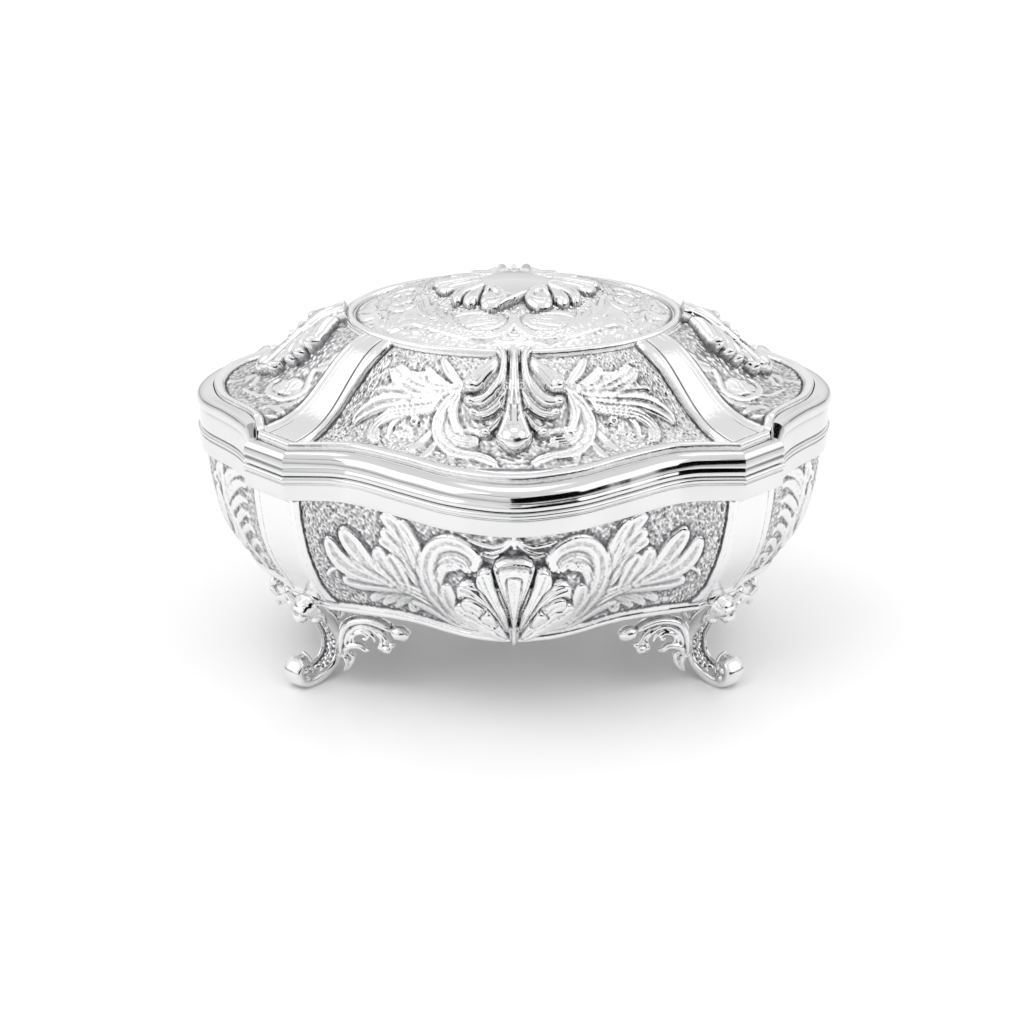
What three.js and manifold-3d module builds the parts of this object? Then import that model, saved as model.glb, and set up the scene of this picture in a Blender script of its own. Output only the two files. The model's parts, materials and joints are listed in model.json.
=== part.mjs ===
// Silver jewellery box: a bombe casket of serpentine plan with canted corners, on four scroll feet,
// under a domed lid with an oval medallion. Millimetres, +Z up, front towards -Y, origin on the
// surface it stands on, under its middle.
import * as THREE from "three";
import { mergeVertices } from "three/addons/utils/BufferGeometryUtils.js";
import Module from "manifold-3d";

const wasm = await Module();
wasm.setup();

// ---- driving dimensions -------------------------------------------------------------------
const SEAM_Z = 66.0; // where lid and body meet
const SEAM_GAP = 0.3; // air between the lid's and the body's faces
const BODY_DROP = 43.5; // seam to the body's lower edge
const BODY_BOTTOM = SEAM_Z - BODY_DROP;
const OVAL_A = 44.0, OVAL_B = 30.0; // half axes of the medallion's border
const OVAL_RISE = 30.0; // seam to the medallion's border
const CROWN_RISE = 8.0; // medallion's border to its middle
const RIM_T = 3.2; // width of the faces that meet at the seam
const WALL_T = 1.5; // body wall
const LID_T = 1.2; // lid skin
const GAP = 0.3; // between touching pieces
const END_RAISE = 3.4; // how much higher the lid's moulding stands on the two ends
const R_BODY = 17.0, R_LID = 5.2; // what u = 1 stands for on the body's and the lid's profiles
const HINGE_Y = 64.4, HINGE_Z = SEAM_Z, KNUCKLE_R = 1.7, PIN_R = 0.8;
const HINGE_SEAT_Y = 62.6; // flat cut in both rims behind the hinge leaves
const SCREW_R = 1.4, SCREW_HEAD_R = 2.6;
const SCREW_IN = 6.8; // foot screw, inwards from the middle of the canted corner
const FOOT_T = 6.5;

// ---- plan outlines: one quarter each, x to the side, y to the front ------------------------
const SEAM_PLAN = {
  front: [[0, 64.2], [7.3, 63.1], [17.8, 59.1], [28.5, 52.0], [39.6, 44.2], [46.1, 41.3], [52, 40.7], [59.9, 40.5]],
  corner: [70.6, 30.6],
  notch: [69.0, 29.4],
  end: [[70.2, 28.2], [71.9, 24.2], [74.2, 20.0], [77.4, 15.7], [81.0, 11.2], [83.6, 6.2], [84.7, 0]],
};
const LID_PLAN = {
  front: [[0, 58.5], [7.3, 57.3], [17.9, 52.6], [28.7, 44.8], [39.6, 38.4], [46.5, 37.0], [53, 36.9], [58.4, 37.1]],
  corner: [66.3, 29.2],
  notch: [66.1, 28.6],
  end: [[66.7, 27.9], [67.6, 25.0], [69.0, 22.0], [71.2, 19.0], [74.2, 15.5], [76.7, 12.1], [78.4, 8.3], [79.4, 3.9], [79.8, 0]],
};
const FOOT_PLAN = {
  front: [[0, 47], [4, 46.7], [10.6, 45], [17.3, 41.3], [22.4, 37.8], [27.5, 34.9], [37.6, 31.4], [47.3, 28.0]],
  corner: [57.3, 18.6],
  notch: [56.0, 17.2],
  end: [[57.8, 16.4], [58.9, 13.6], [60.4, 10.8], [62.6, 7.9], [65.0, 5.0], [66.5, 2.4], [67.1, 0]],
};
const N_FRONT = 6, N_END = 4; // steps along the front half and the end half of a quarter

// A smooth line through points. The mirror of the second (or last but one) point keeps it level at the centre lines.
function smooth(points, n, mirrorFirst, mirrorLast) {
  const p = points.map(([x, y]) => [x, y]);
  const first = mirrorFirst ? [-p[1][0], p[1][1]] : [2 * p[0][0] - p[1][0], 2 * p[0][1] - p[1][1]];
  const k = p.length - 1;
  const last = mirrorLast ? [p[k - 1][0], -p[k - 1][1]] : [2 * p[k][0] - p[k - 1][0], 2 * p[k][1] - p[k - 1][1]];
  const q = [first, ...p, last], dense = [];
  for (let i = 1; i < q.length - 2; i++)
    for (let j = 0; j < 24; j++) {
      const t = j / 24;
      dense.push([0, 1].map((c) => {
        const [a, b, d, e] = [q[i - 1][c], q[i][c], q[i + 1][c], q[i + 2][c]];
        return 0.5 * (2 * b + (d - a) * t + (2 * a - 5 * b + 4 * d - e) * t * t + (3 * b - a - 3 * d + e) * t ** 3);
      }));
    }
  dense.push(p[k]);
  const run = [0];
  for (let i = 1; i < dense.length; i++) run.push(run[i - 1] + Math.hypot(dense[i][0] - dense[i - 1][0], dense[i][1] - dense[i - 1][1]));
  const out = [];
  for (let s = 0; s <= n; s++) {
    const want = (run.at(-1) * s) / n;
    let i = run.findIndex((r) => r >= want - 1e-9);
    i = Math.max(1, i);
    const t = (want - run[i - 1]) / (run[i] - run[i - 1]);
    out.push([0, 1].map((c) => dense[i - 1][c] + (dense[i][c] - dense[i - 1][c]) * t));
  }
  return out;
}

// The quarter first, then the whole outline, counter-clockwise from the front centre.
const quarter = (plan) => [...smooth(plan.front, N_FRONT, true, false), plan.corner, plan.notch, ...smooth(plan.end, N_END, false, true)];
function whole(q) {
  const k = q.length - 1;
  const out = [];
  for (let i = 0; i <= k; i++) out.push([q[i][0], -q[i][1]]);
  for (let i = k - 1; i >= 0; i--) out.push([q[i][0], q[i][1]]);
  for (let i = 1; i <= k; i++) out.push([-q[i][0], q[i][1]]);
  for (let i = k - 1; i >= 1; i--) out.push([-q[i][0], -q[i][1]]);
  return out;
}
const seam = whole(quarter(SEAM_PLAN)), lidEdge = whole(quarter(LID_PLAN)), footEdge = whole(quarter(FOOT_PLAN));
const N = seam.length;
// 1 on the ends, 0 on the front, the back and the canted corners, point for point beside the outlines.
const ON_END = whole(quarter(SEAM_PLAN).map((_, i) => [i > N_FRONT + 2 ? 1 : 0, 0])).map(([e]) => Math.abs(e));
// The medallion's border, point for point beside the outlines: the canted corners run to 40 and 32 degrees on it.
const ovalAngles = [];
for (let i = 0; i <= N_FRONT; i++) ovalAngles.push(90 + ((40 - 90) * i) / N_FRONT);
ovalAngles.push(32, 31.4);
for (let i = 0; i <= N_END; i++) ovalAngles.push(30.9 * (1 - i / N_END));
const ovalPlan = (a, b) => whole(ovalAngles.map((d) => [a * Math.cos((d * Math.PI) / 180), b * Math.sin((d * Math.PI) / 180)]));
const oval = ovalPlan(OVAL_A, OVAL_B);

const mix = (A, B, u) => A.map((p, i) => [p[0] + (B[i][0] - p[0]) * u, p[1] + (B[i][1] - p[1]) * u]);
const at = (plan, z) => plan.map(([x, y]) => [x, y, z]);
// r is millimetres inwards from the seam's outline, dz millimetres above (or below) the seam.
const bodyLoop = (r, dz) => at(mix(seam, footEdge, r / R_BODY), SEAM_Z + dz);
const raised = (loop, k) => loop.map(([x, y, z], i) => [x, y, z + END_RAISE * k * ON_END[i]]);
const lidLoop = (r, dz) => raised(at(mix(seam, lidEdge, r / R_LID), SEAM_Z + dz), Math.min(1, Math.max(0, dz - 0.5)));

// ---- closed lofts --------------------------------------------------------------------------
function geometryOf(vertices, triangles) {
  const g = new THREE.BufferGeometry();
  g.setAttribute("position", new THREE.Float32BufferAttribute(vertices.flat(), 3));
  g.setIndex(triangles.flat());
  return g;
}
// Loops in order round a closed section: up the outside, then down the inside.
function ring(loops) {
  const n = loops[0].length, k = loops.length, tri = [];
  for (let j = 0; j < k; j++)
    for (let i = 0; i < n; i++) {
      const a = j * n + i, b = j * n + ((i + 1) % n), c = ((j + 1) % k) * n + ((i + 1) % n), d = ((j + 1) % k) * n + i;
      tri.push([a, b, c], [a, c, d]);
    }
  return geometryOf(loops.flat(), tri);
}
// Loops from the middle of the underside, out and round to the middle of the top.
function plate(loops, bottom, top) {
  const n = loops[0].length, k = loops.length, v = loops.flat(), tri = [];
  for (let j = 0; j < k - 1; j++)
    for (let i = 0; i < n; i++) {
      const a = j * n + i, b = j * n + ((i + 1) % n), c = (j + 1) * n + ((i + 1) % n), d = (j + 1) * n + i;
      tri.push([a, b, c], [a, c, d]);
    }
  const lo = v.length, hi = lo + 1;
  v.push(bottom, top);
  for (let i = 0; i < n; i++) {
    tri.push([lo, (i + 1) % n, i]);
    tri.push([hi, (k - 1) * n + i, (k - 1) * n + ((i + 1) % n)]);
  }
  return geometryOf(v, tri);
}

// ---- joins and cuts ------------------------------------------------------------------------
function solid(geometry) {
  const g = geometry.clone();
  g.deleteAttribute("normal");
  g.deleteAttribute("uv");
  const m = mergeVertices(g, 1e-4);
  return new wasm.Manifold(new wasm.Mesh({ numProp: 3, vertProperties: new Float32Array(m.attributes.position.array), triVerts: new Uint32Array(m.index.array) }));
}
function shape(manifold) {
  const m = manifold.getMesh();
  const g = new THREE.BufferGeometry();
  g.setAttribute("position", new THREE.BufferAttribute(new Float32Array(m.vertProperties), 3));
  g.setIndex(new THREE.BufferAttribute(new Uint32Array(m.triVerts), 1));
  return g;
}
const block = (x0, x1, y0, y1, z0, z1) => new THREE.BoxGeometry(x1 - x0, y1 - y0, z1 - z0).translate((x0 + x1) / 2, (y0 + y1) / 2, (z0 + z1) / 2);
const postZ = (r, x, y, z0, z1, n = 16) => new THREE.CylinderGeometry(r, r, z1 - z0, n).rotateX(Math.PI / 2).translate(x, y, (z0 + z1) / 2);
const rodX = (r, x0, x1, y, z, n = 16) => new THREE.CylinderGeometry(r, r, x1 - x0, n).rotateZ(Math.PI / 2).translate((x0 + x1) / 2, y, z);
const rodY = (r, x, y0, y1, z, n = 12) => new THREE.CylinderGeometry(r, r, y1 - y0, n).translate(x, (y0 + y1) / 2, z);
// The same solid in another quarter, with its faces still pointing out.
function inQuarter(geometry, sx, sy) {
  const g = geometry.clone().applyMatrix4(new THREE.Matrix4().makeScale(sx, sy, 1));
  if (sx * sy < 0) {
    const i = g.index.array;
    for (let k = 0; k < i.length; k += 3) [i[k + 1], i[k + 2]] = [i[k + 2], i[k + 1]];
  }
  return g;
}

// ---- finishes ------------------------------------------------------------------------------
const silver = () => new THREE.MeshStandardMaterial({ color: 0xdfe0e2, metalness: 1, roughness: 0.18 });
const steel = () => new THREE.MeshStandardMaterial({ color: 0xb9bcc0, metalness: 1, roughness: 0.35 });
const velvet = () => new THREE.MeshStandardMaterial({ color: 0x141b3c, metalness: 0, roughness: 0.95 });

const box = new THREE.Group(), lid = new THREE.Group();
box.add(lid);
function add(group, name, geometry, material) {
  const m = new THREE.Mesh(geometry, material);
  m.name = name;
  group.add(m);
  return m;
}

// ---- body shell ----------------------------------------------------------------------------
const TOP = -SEAM_GAP / 2;
const wallProfile = [[17.0, -43.5], [14.6, -41.4], [11.9, -37.2], [9.2, -32.8], [7.0, -28.5], [5.1, -22.5], [3.7, -14.5], [3.0, -7.4]];
const bodyOuter = [...wallProfile.map(([r, z]) => bodyLoop(r, z)), bodyLoop(0.8, -6.0), bodyLoop(0.2, -2.1), bodyLoop(-0.2, -1.2), bodyLoop(0, TOP)];
const bodyInner = [bodyLoop(RIM_T, TOP), bodyLoop(3.5 + WALL_T, -9.5), bodyLoop(4.6 + WALL_T, -20.0), bodyLoop(7.4 + WALL_T, -28.8), bodyLoop(11.9 + WALL_T, -36.7), bodyLoop(16.3 + WALL_T, -42.0), bodyLoop(20.2, -42.0), bodyLoop(20.2, -43.5)];
let bodyShell = solid(ring([...bodyOuter, ...bodyInner]));
bodyShell = bodyShell.subtract(solid(block(-11, 11, HINGE_SEAT_Y, 80, SEAM_Z - 8.2, SEAM_Z + 1)));

// ---- feet: scroll leg on the diagonal, a leaf wing along each side, a boss for its screw -----
const C1 = [47.3, 28.0], C2 = [57.3, 18.6];
const MID = [(C1[0] + C2[0]) / 2, (C1[1] + C2[1]) / 2];
const OUT = new THREE.Vector2(C1[1] - C2[1], C2[0] - C1[0]).normalize(); // outwards across the canted corner
const SCREW_XY = [MID[0] - OUT.x * SCREW_IN, MID[1] - OUT.y * SCREW_IN];
const FOOT_TOP = BODY_BOTTOM - GAP;
const scroll = [[0.9, 22.2], [-3.2, 22.2], [-7.2, 17.6], [-8.7, 10.6], [-7.2, 5.0], [-4.2, 1.6], [0.2, 0], [5.0, 0], [8.0, 2.2], [8.7, 6], [6.6, 9.0], [3.2, 9.2], [-1.2, 7.4], [-4.2, 8.4], [-5.2, 10.6], [-4.3, 15.0], [-1.6, 18.2], [3.6, 19.4], [6.6, 20.4], [7.4, 23], [5.4, 25.1], [3.4, 24.4]];
const wing = [[-4, 22.2], [-3.2, 5.4], [1.5, 8.4], [5.2, 13.6], [9.0, 14.2], [10.4, 17.2], [12.7, 16], [15, 12.1], [17.2, 14.4], [19.6, 17.2], [20.9, 19.4], [20.6, 22.2]];
function extruded(outline, thickness, origin, along) {
  // outline (a, z) stands upright; a runs along the direction, thickness across it
  const s = new THREE.Shape(outline.map(([a, z]) => new THREE.Vector2(a, z)));
  const g = new THREE.ExtrudeGeometry(s, { depth: thickness, bevelEnabled: false }).translate(0, 0, -thickness / 2);
  const m = new THREE.Matrix4().makeBasis(new THREE.Vector3(along.x, along.y, 0), new THREE.Vector3(0, 0, 1), new THREE.Vector3(along.y, -along.x, 0));
  m.setPosition(origin[0], origin[1], 0);
  return g.applyMatrix4(m);
}
const scaled = (outline, k) => outline.map(([a, z]) => [a * k, 22.2 - (22.2 - z) * (0.25 + 0.75 * k)]);
const frontAlong = new THREE.Vector2(27.5 - 47.3, 34.7 - 28.0).normalize();
const endAlong = new THREE.Vector2(60.9 - 57.3, 9.8 - 18.6).normalize();
let foot = solid(extruded(scroll, FOOT_T, MID, OUT))
  .add(solid(extruded(wing, 3.0, [C1[0] - 1.2, C1[1] - 2.4], frontAlong)))
  .add(solid(extruded(scaled(wing, 0.68), 3.0, [C2[0] - 2.2, C2[1] - 0.8], endAlong)))
  .add(solid(postZ(3.1, SCREW_XY[0], SCREW_XY[1], BODY_BOTTOM - 8, BODY_BOTTOM + 1.5)))
  .add(solid(extruded([[-SCREW_IN - 0.5, BODY_BOTTOM - 7], [1.0, BODY_BOTTOM - 7], [1.0, FOOT_TOP], [-SCREW_IN - 0.5, FOOT_TOP]], 5.0, MID, OUT)))
  .subtract(solid(postZ(SCREW_R + GAP, SCREW_XY[0], SCREW_XY[1], BODY_BOTTOM - 6.2, BODY_BOTTOM + 3)));
// keep every wing and leg under the body's edge, apart from the knee that stands in front of the wall
foot = foot.subtract(solid(ring([bodyLoop(17.0 - 0.45, -43.5 - GAP), bodyLoop(14.6 - 0.6, -41.4), bodyLoop(9, -36), bodyLoop(22.5, -36), bodyLoop(20.2 + 0.35, -43.5 - GAP)])));

add(box, "body_shell", shape(bodyShell), silver());

const plateR = 17.0 + 1.15;
let floorPlate = solid(plate([bodyLoop(plateR, -41.7), bodyLoop(plateR, -40.5)], [0, 0, SEAM_Z - 41.7], [0, 0, SEAM_Z - 40.5]));
const quarters = [["front_left", -1, -1], ["front_right", 1, -1], ["back_left", -1, 1], ["back_right", 1, 1]];
for (const [, sx, sy] of quarters) floorPlate = floorPlate.subtract(solid(postZ(SCREW_R + GAP, sx * SCREW_XY[0], sy * SCREW_XY[1], 10, 40)));
add(box, "bottom_plate", shape(floorPlate), silver());

const footShape = shape(foot);
for (const [where, sx, sy] of quarters) add(box, "foot_" + where, inQuarter(footShape, sx, sy), silver());

const screwTop = SEAM_Z - 40.5 + GAP;
const screw = solid(postZ(SCREW_HEAD_R, SCREW_XY[0], SCREW_XY[1], screwTop, screwTop + 1.5, 18))
  .add(solid(postZ(SCREW_R, SCREW_XY[0], SCREW_XY[1], BODY_BOTTOM - 5.6, screwTop + 0.5, 12)))
  .subtract(solid(block(SCREW_XY[0] - 3, SCREW_XY[0] + 3, SCREW_XY[1] - 0.35, SCREW_XY[1] + 0.35, screwTop + 0.9, screwTop + 3)));
const screwShape = shape(screw);
for (const [where, sx, sy] of quarters) add(box, "foot_screw_" + where, inQuarter(screwShape, sx, sy), steel());

// ---- linings of the body -------------------------------------------------------------------
const PAD_Z0 = screwTop + 1.5 + GAP - SEAM_Z, PAD_Z1 = PAD_Z0 + 4.2;
add(box, "base_pad", plate([bodyLoop(17.6, PAD_Z0), bodyLoop(16.6, PAD_Z0 + 2.4), bodyLoop(18.2, PAD_Z1)], [0, 0, SEAM_Z + PAD_Z0], [0, 0, SEAM_Z + PAD_Z1]), velvet());
const lin = WALL_T + 0.45, linT = 0.9;
// The cloth runs straight past the notches beside the canted corners.
const BY_NOTCH = whole(quarter(SEAM_PLAN).map((_, i) => [i > N_FRONT && i < N_FRONT + 4 ? 1 : 0, 0])).map(([e]) => Math.abs(e));
const clothLoop = (r, dz) => {
  const a = bodyLoop(r, dz), b = bodyLoop(r + 2.2, dz);
  return a.map((p, i) => {
    if (!BY_NOTCH[i]) return p;
    const j = (i + N - 1) % N, k = (i + 1) % N;
    return BY_NOTCH[j] && BY_NOTCH[k] ? [(b[j][0] + b[k][0]) / 2, (b[j][1] + b[k][1]) / 2, b[i][2]] : b[i];
  });
};
add(box, "side_lining", ring([
  clothLoop(11.2 + lin, -34.4), clothLoop(7.4 + lin, -28.6), clothLoop(4.6 + lin, -20.0), clothLoop(3.5 + lin, -3.0),
  clothLoop(3.5 + lin + linT, -3.0), clothLoop(4.6 + lin + linT, -20.0), clothLoop(7.4 + lin + linT, -28.6), clothLoop(11.2 + lin + linT, -34.4)]), velvet());

// ---- lid: rim moulding, skin, medallion -----------------------------------------------------
const B0 = SEAM_GAP / 2;
let rim = solid(ring([
  lidLoop(0, B0), lidLoop(-0.25, 1.4), lidLoop(0.3, 2.9), lidLoop(0.75, 4.0), lidLoop(1.5, 5.4), lidLoop(3.0, 6.3), lidLoop(4.1, 6.3),
  lidLoop(4.1, 5.0), lidLoop(RIM_T, 3.4), lidLoop(RIM_T, B0)]));
rim = rim.subtract(solid(block(-11, 11, HINGE_SEAT_Y, 80, SEAM_Z - 1, SEAM_Z + 8)));

// Height of the lid's skin along its run from the rim (t = 0) to the medallion (t = 1): flared below, full above.
const LID_Z0 = 7.2;
const rise = (t) => { const s = Math.pow(t, 1.28); return s - 0.09 * Math.sin(2 * Math.PI * s); };
const skinPlan = (t) => mix(lidEdge, oval, t);
const skinZ = (t) => SEAM_Z + LID_Z0 + (OVAL_RISE - LID_Z0) * rise(t);
const skin = (t, drop = 0) => raised(at(skinPlan(t), skinZ(t) - drop), (1 - t) ** 2);
const under = (t, k, drop) => raised(at(mix(skinPlan(t), oval, k), skinZ(t) - drop), (1 - t) ** 2);
const steps = [0.03, 0.2, 0.4, 0.6, 0.8, 0.955];
const ledge = (k, dz) => at(ovalPlan(OVAL_A - k, OVAL_B - k), SEAM_Z + OVAL_RISE + dz);
const lidSkin = ring([
  lidLoop(4.5, 5.0), lidLoop(4.55, 7.2),
  ...steps.map((t) => skin(t)),
  ledge(-GAP - 0.1, -0.4), ledge(-GAP - 0.1, -1.9), ledge(2.4, -1.9), ledge(2.4, -3.1), ledge(-0.6, -3.1),
  ...steps.slice(0, 5).reverse().map((t) => skin(t, LID_T + 0.5)), lidLoop(5.6, 5.0)]);
const medalZ = (k) => CROWN_RISE * (1 - k * k);
const medalLoop = (k, dz) => at(ovalPlan(OVAL_A * k, OVAL_B * k), SEAM_Z + OVAL_RISE + medalZ(k) + dz);
const medal = plate([medalLoop(0.5, -1.3), medalLoop(0.85, -1.3), at(ovalPlan(OVAL_A - 1.4, OVAL_B - 1.4), SEAM_Z + OVAL_RISE - 1.6), at(oval, SEAM_Z + OVAL_RISE - 1.6), at(oval, SEAM_Z + OVAL_RISE + 0.3), at(ovalPlan(OVAL_A - 1.0, OVAL_B - 1.0), SEAM_Z + OVAL_RISE + 1.0), medalLoop(0.94, 0), medalLoop(0.75, 0), medalLoop(0.5, 0), medalLoop(0.25, 0)],
  [0, 0, SEAM_Z + OVAL_RISE + CROWN_RISE - 1.4], [0, 0, SEAM_Z + OVAL_RISE + CROWN_RISE]);
add(lid, "lid_rim", shape(rim), silver());
add(lid, "lid_shell", lidSkin, silver());
add(lid, "top_medallion", medal, silver());

// Padded lining inside the lid, under the skin and the medallion.
const liningTop = [0.02, 0.2, 0.4, 0.6, 0.8];
add(lid, "lid_lining", plate([
  at(ovalPlan(OVAL_A * 0.3, OVAL_B * 0.3), SEAM_Z + OVAL_RISE - 4.2), at(ovalPlan(OVAL_A * 0.8, OVAL_B * 0.8), SEAM_Z + OVAL_RISE - 6.0),
  ...[...liningTop].reverse().map((t) => under(t, 0.10, LID_T + 0.9 + 2.6)),
  ...liningTop.map((t) => under(t, 0.07, LID_T + 0.9)),
  at(ovalPlan(OVAL_A * 0.8, OVAL_B * 0.8), SEAM_Z + OVAL_RISE - 3.5), at(ovalPlan(OVAL_A * 0.3, OVAL_B * 0.3), SEAM_Z + OVAL_RISE - 2.4)],
  [0, 0, SEAM_Z + OVAL_RISE - 4.0], [0, 0, SEAM_Z + OVAL_RISE - 2.2]), velvet());

// ---- applied ornaments: closed patches that lie on the surface under them --------------------
// point(a, t): a = millimetres to the side of the ornament's own centre line, t along the surface.
function patch(point, rows, widths, lift, height) {
  const cols = 6, bottom = [], top = [];
  rows.forEach((t, j) => {
    for (let i = 0; i <= cols; i++) {
      const c = -1 + (2 * i) / cols, a = c * widths[j];
      const p = new THREE.Vector3(...point(a, t)), du = new THREE.Vector3(...point(a + 0.5, t)).sub(new THREE.Vector3(...point(a - 0.5, t)));
      const dv = new THREE.Vector3(...point(a, t + 0.02)).sub(new THREE.Vector3(...point(a, t - 0.02)));
      const n = du.cross(dv).normalize();
      bottom.push(p.clone().addScaledVector(n, lift).toArray());
      top.push(p.clone().addScaledVector(n, lift + 0.5 + (height - 0.5) * Math.sqrt(Math.max(0, 1 - c * c)) * Math.sin(Math.PI * (0.12 + (0.76 * j) / (rows.length - 1)))).toArray());
    }
  });
  const w = cols + 1, h = rows.length, off = w * h, tri = [];
  for (let j = 0; j < h - 1; j++)
    for (let i = 0; i < cols; i++) {
      const a = j * w + i, b = a + 1, c = a + w + 1, d = a + w;
      tri.push([off + a, off + b, off + c], [off + a, off + c, off + d], [a, c, b], [a, d, c]);
    }
  const edge = [];
  for (let i = 0; i < cols; i++) edge.push(i);
  for (let j = 0; j < h - 1; j++) edge.push(j * w + cols);
  for (let i = cols; i > 0; i--) edge.push((h - 1) * w + i);
  for (let j = h - 1; j > 0; j--) edge.push(j * w);
  edge.forEach((a, k) => {
    const b = edge[(k + 1) % edge.length];
    tri.push([a, b, off + b], [a, off + b, off + a]);
  });
  return geometryOf([...bottom, ...top], tri);
}
// A place on an outline near a centre line: side 0 front, 1 right, 2 back, 3 left; a = millimetres along it, to the right when seen from outside.
function along(loop, side, a) {
  const mid = (side * N) / 4;
  let i = mid, left = Math.abs(a);
  const dir = a < 0 ? -1 : 1;
  for (;;) {
    const p = loop[(i + N) % N], q = loop[(i + dir + N) % N], d = Math.hypot(q[0] - p[0], q[1] - p[1]);
    if (left <= d) return [p[0] + ((q[0] - p[0]) * left) / d, p[1] + ((q[1] - p[1]) * left) / d, p[2]];
    left -= d;
    i += dir;
  }
}
const onLid = (side) => (a, t) => along(skin(t), side, a);
const bodyR = (dz) => {
  for (let i = 1; i < wallProfile.length; i++) {
    const [r0, z0] = wallProfile[i - 1], [r1, z1] = wallProfile[i];
    if (dz <= z1) return r0 + ((r1 - r0) * (dz - z0)) / (z1 - z0);
  }
  return 3.0;
};
const onBody = (side) => (a, t) => along(bodyLoop(bodyR(-42.4 + 35 * t), -42.4 + 35 * t), side, a);
// acanthus drops: from the medallion's border down to the rim
const dropRows = [0.14, 0.3, 0.46, 0.62, 0.78, 0.93];
const dropWidths = [3.0, 8.0, 11.0, 11.6, 7.6, 3.6];
[["front", 0, 1], ["right", 1, 0.84], ["back", 2, 1], ["left", 3, 0.84]].forEach(([where, side, k]) =>
  add(lid, "lid_acanthus_" + where, patch(onLid(side), dropRows, dropWidths.map((w) => w * k), 0.6, 3.6), silver()));
// scallop shells: on the front and back of the body
const shellRows = [0.02, 0.18, 0.35, 0.52, 0.69, 0.84];
const shellWidths = [6.0, 11.0, 14.4, 14.8, 11.4, 5.0];
[["front", 0], ["back", 2]].forEach(([where, side]) => add(box, "body_shell_ornament_" + where, patch(onBody(side), shellRows, shellWidths, 0.65, 3.4), silver()));

// cartouche: a wreath of leaves round a plain plaque, on the crown
const crownAt = (x, y, dz) => [x, y, SEAM_Z + OVAL_RISE + CROWN_RISE * (1 - (x / OVAL_A) ** 2 - (y / OVAL_B) ** 2) + dz];
const around = (a, b, dz, n = 28) => Array.from({ length: n }, (_, i) => {
  const w = (2 * Math.PI * i) / n - Math.PI / 2;
  return crownAt(a * Math.cos(w), b * Math.sin(w), dz);
});
const LIFT = 0.45;
add(lid, "cartouche_wreath", ring([around(21.4, 16.8, LIFT), around(21.4, 16.8, LIFT + 0.7), around(16.5, 12.9, LIFT + 2.4), around(10.6, 9.4, LIFT + 1.2), around(10.6, 9.4, LIFT)]), silver());
add(lid, "name_plaque", plate([around(10.2, 9.0, LIFT), around(10.2, 9.0, LIFT + 1.0), around(5, 4.5, LIFT + 1.3)], crownAt(0, 0, LIFT), crownAt(0, 0, LIFT + 1.4)), silver());

// ---- hinge at the back -----------------------------------------------------------------------
const LEAF_Y0 = HINGE_SEAT_Y + GAP, LEAF_Y1 = LEAF_Y0 + 0.9, BORE_R = PIN_R + 0.25;
const pinBore = solid(rodX(BORE_R, -20, 20, HINGE_Y, HINGE_Z, 16));
const RIVETS = { lower: [[-6.4, SEAM_Z - 4.2], [6.4, SEAM_Z - 4.2]], upper: [[-6.4, SEAM_Z + 3.7], [6.4, SEAM_Z + 3.7]] };
let lower = solid(block(-10, 10, LEAF_Y0, LEAF_Y1, SEAM_Z - 6.2, SEAM_Z - 0.6))
  .subtract(solid(block(-3.75, 3.75, LEAF_Y0 - 1, LEAF_Y1 + 1, SEAM_Z - 2.1, SEAM_Z + 1)))
  .add(solid(rodX(KNUCKLE_R, -10, -3.75, HINGE_Y, HINGE_Z, 18)))
  .add(solid(rodX(KNUCKLE_R, 3.75, 10, HINGE_Y, HINGE_Z, 18)))
  .subtract(pinBore);
let upper = solid(block(-10, 10, LEAF_Y0, LEAF_Y1, SEAM_Z + 2.1, SEAM_Z + 5.2))
  .add(solid(block(-3.4, 3.4, LEAF_Y0, LEAF_Y1, SEAM_Z + 0.6, SEAM_Z + 5.2)))
  .add(solid(rodX(KNUCKLE_R, -3.4, 3.4, HINGE_Y, HINGE_Z, 18)))
  .subtract(pinBore);
for (const [x, z] of RIVETS.lower) {
  const hole = solid(rodY(0.75 + 0.25, x, 55, 70, z));
  lower = lower.subtract(hole);
  bodyShell = bodyShell.subtract(hole);
}
for (const [x, z] of RIVETS.upper) {
  const hole = solid(rodY(0.75 + 0.25, x, 55, 70, z));
  upper = upper.subtract(hole);
  rim = rim.subtract(hole);
}
box.children.find((m) => m.name === "body_shell").geometry = shape(bodyShell);
lid.children.find((m) => m.name === "lid_rim").geometry = shape(rim);
add(box, "hinge_leaf_lower", shape(lower), silver());
add(lid, "hinge_leaf_upper", shape(upper), silver());
add(box, "hinge_pin", shape(solid(rodX(PIN_R, -10.6, 10.6, HINGE_Y, HINGE_Z, 16)).add(solid(rodX(1.25, 10.3, 11.1, HINGE_Y, HINGE_Z, 14))).add(solid(rodX(1.25, -11.1, -10.3, HINGE_Y, HINGE_Z, 14)))), steel());
const rivet = (x, z) => {
  const cap = new THREE.CylinderGeometry(1.25, 1.25, 0.2, 14).translate(x, LEAF_Y1 + GAP + 0.1, z);
  const dome = new THREE.CylinderGeometry(0.7, 1.25, 0.45, 14).translate(x, LEAF_Y1 + GAP + 0.2 + 0.225, z);
  return shape(solid(cap).add(solid(dome)).add(solid(rodY(0.75, x, HINGE_SEAT_Y - 1.0, LEAF_Y1 + GAP + 0.1, z, 12))));
};
RIVETS.lower.forEach(([x, z], i) => add(box, "hinge_rivet_lower_" + ["left", "right"][i], rivet(x, z), silver()));
RIVETS.upper.forEach(([x, z], i) => add(lid, "hinge_rivet_upper_" + ["left", "right"][i], rivet(x, z), silver()));

export default box;
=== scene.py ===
# Silver jewellery box: chased panels, applied leaf ornaments and scroll feet built round the frame.
# Working units in this script are millimetres; meshes are written in metres.
import json
import math

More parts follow.
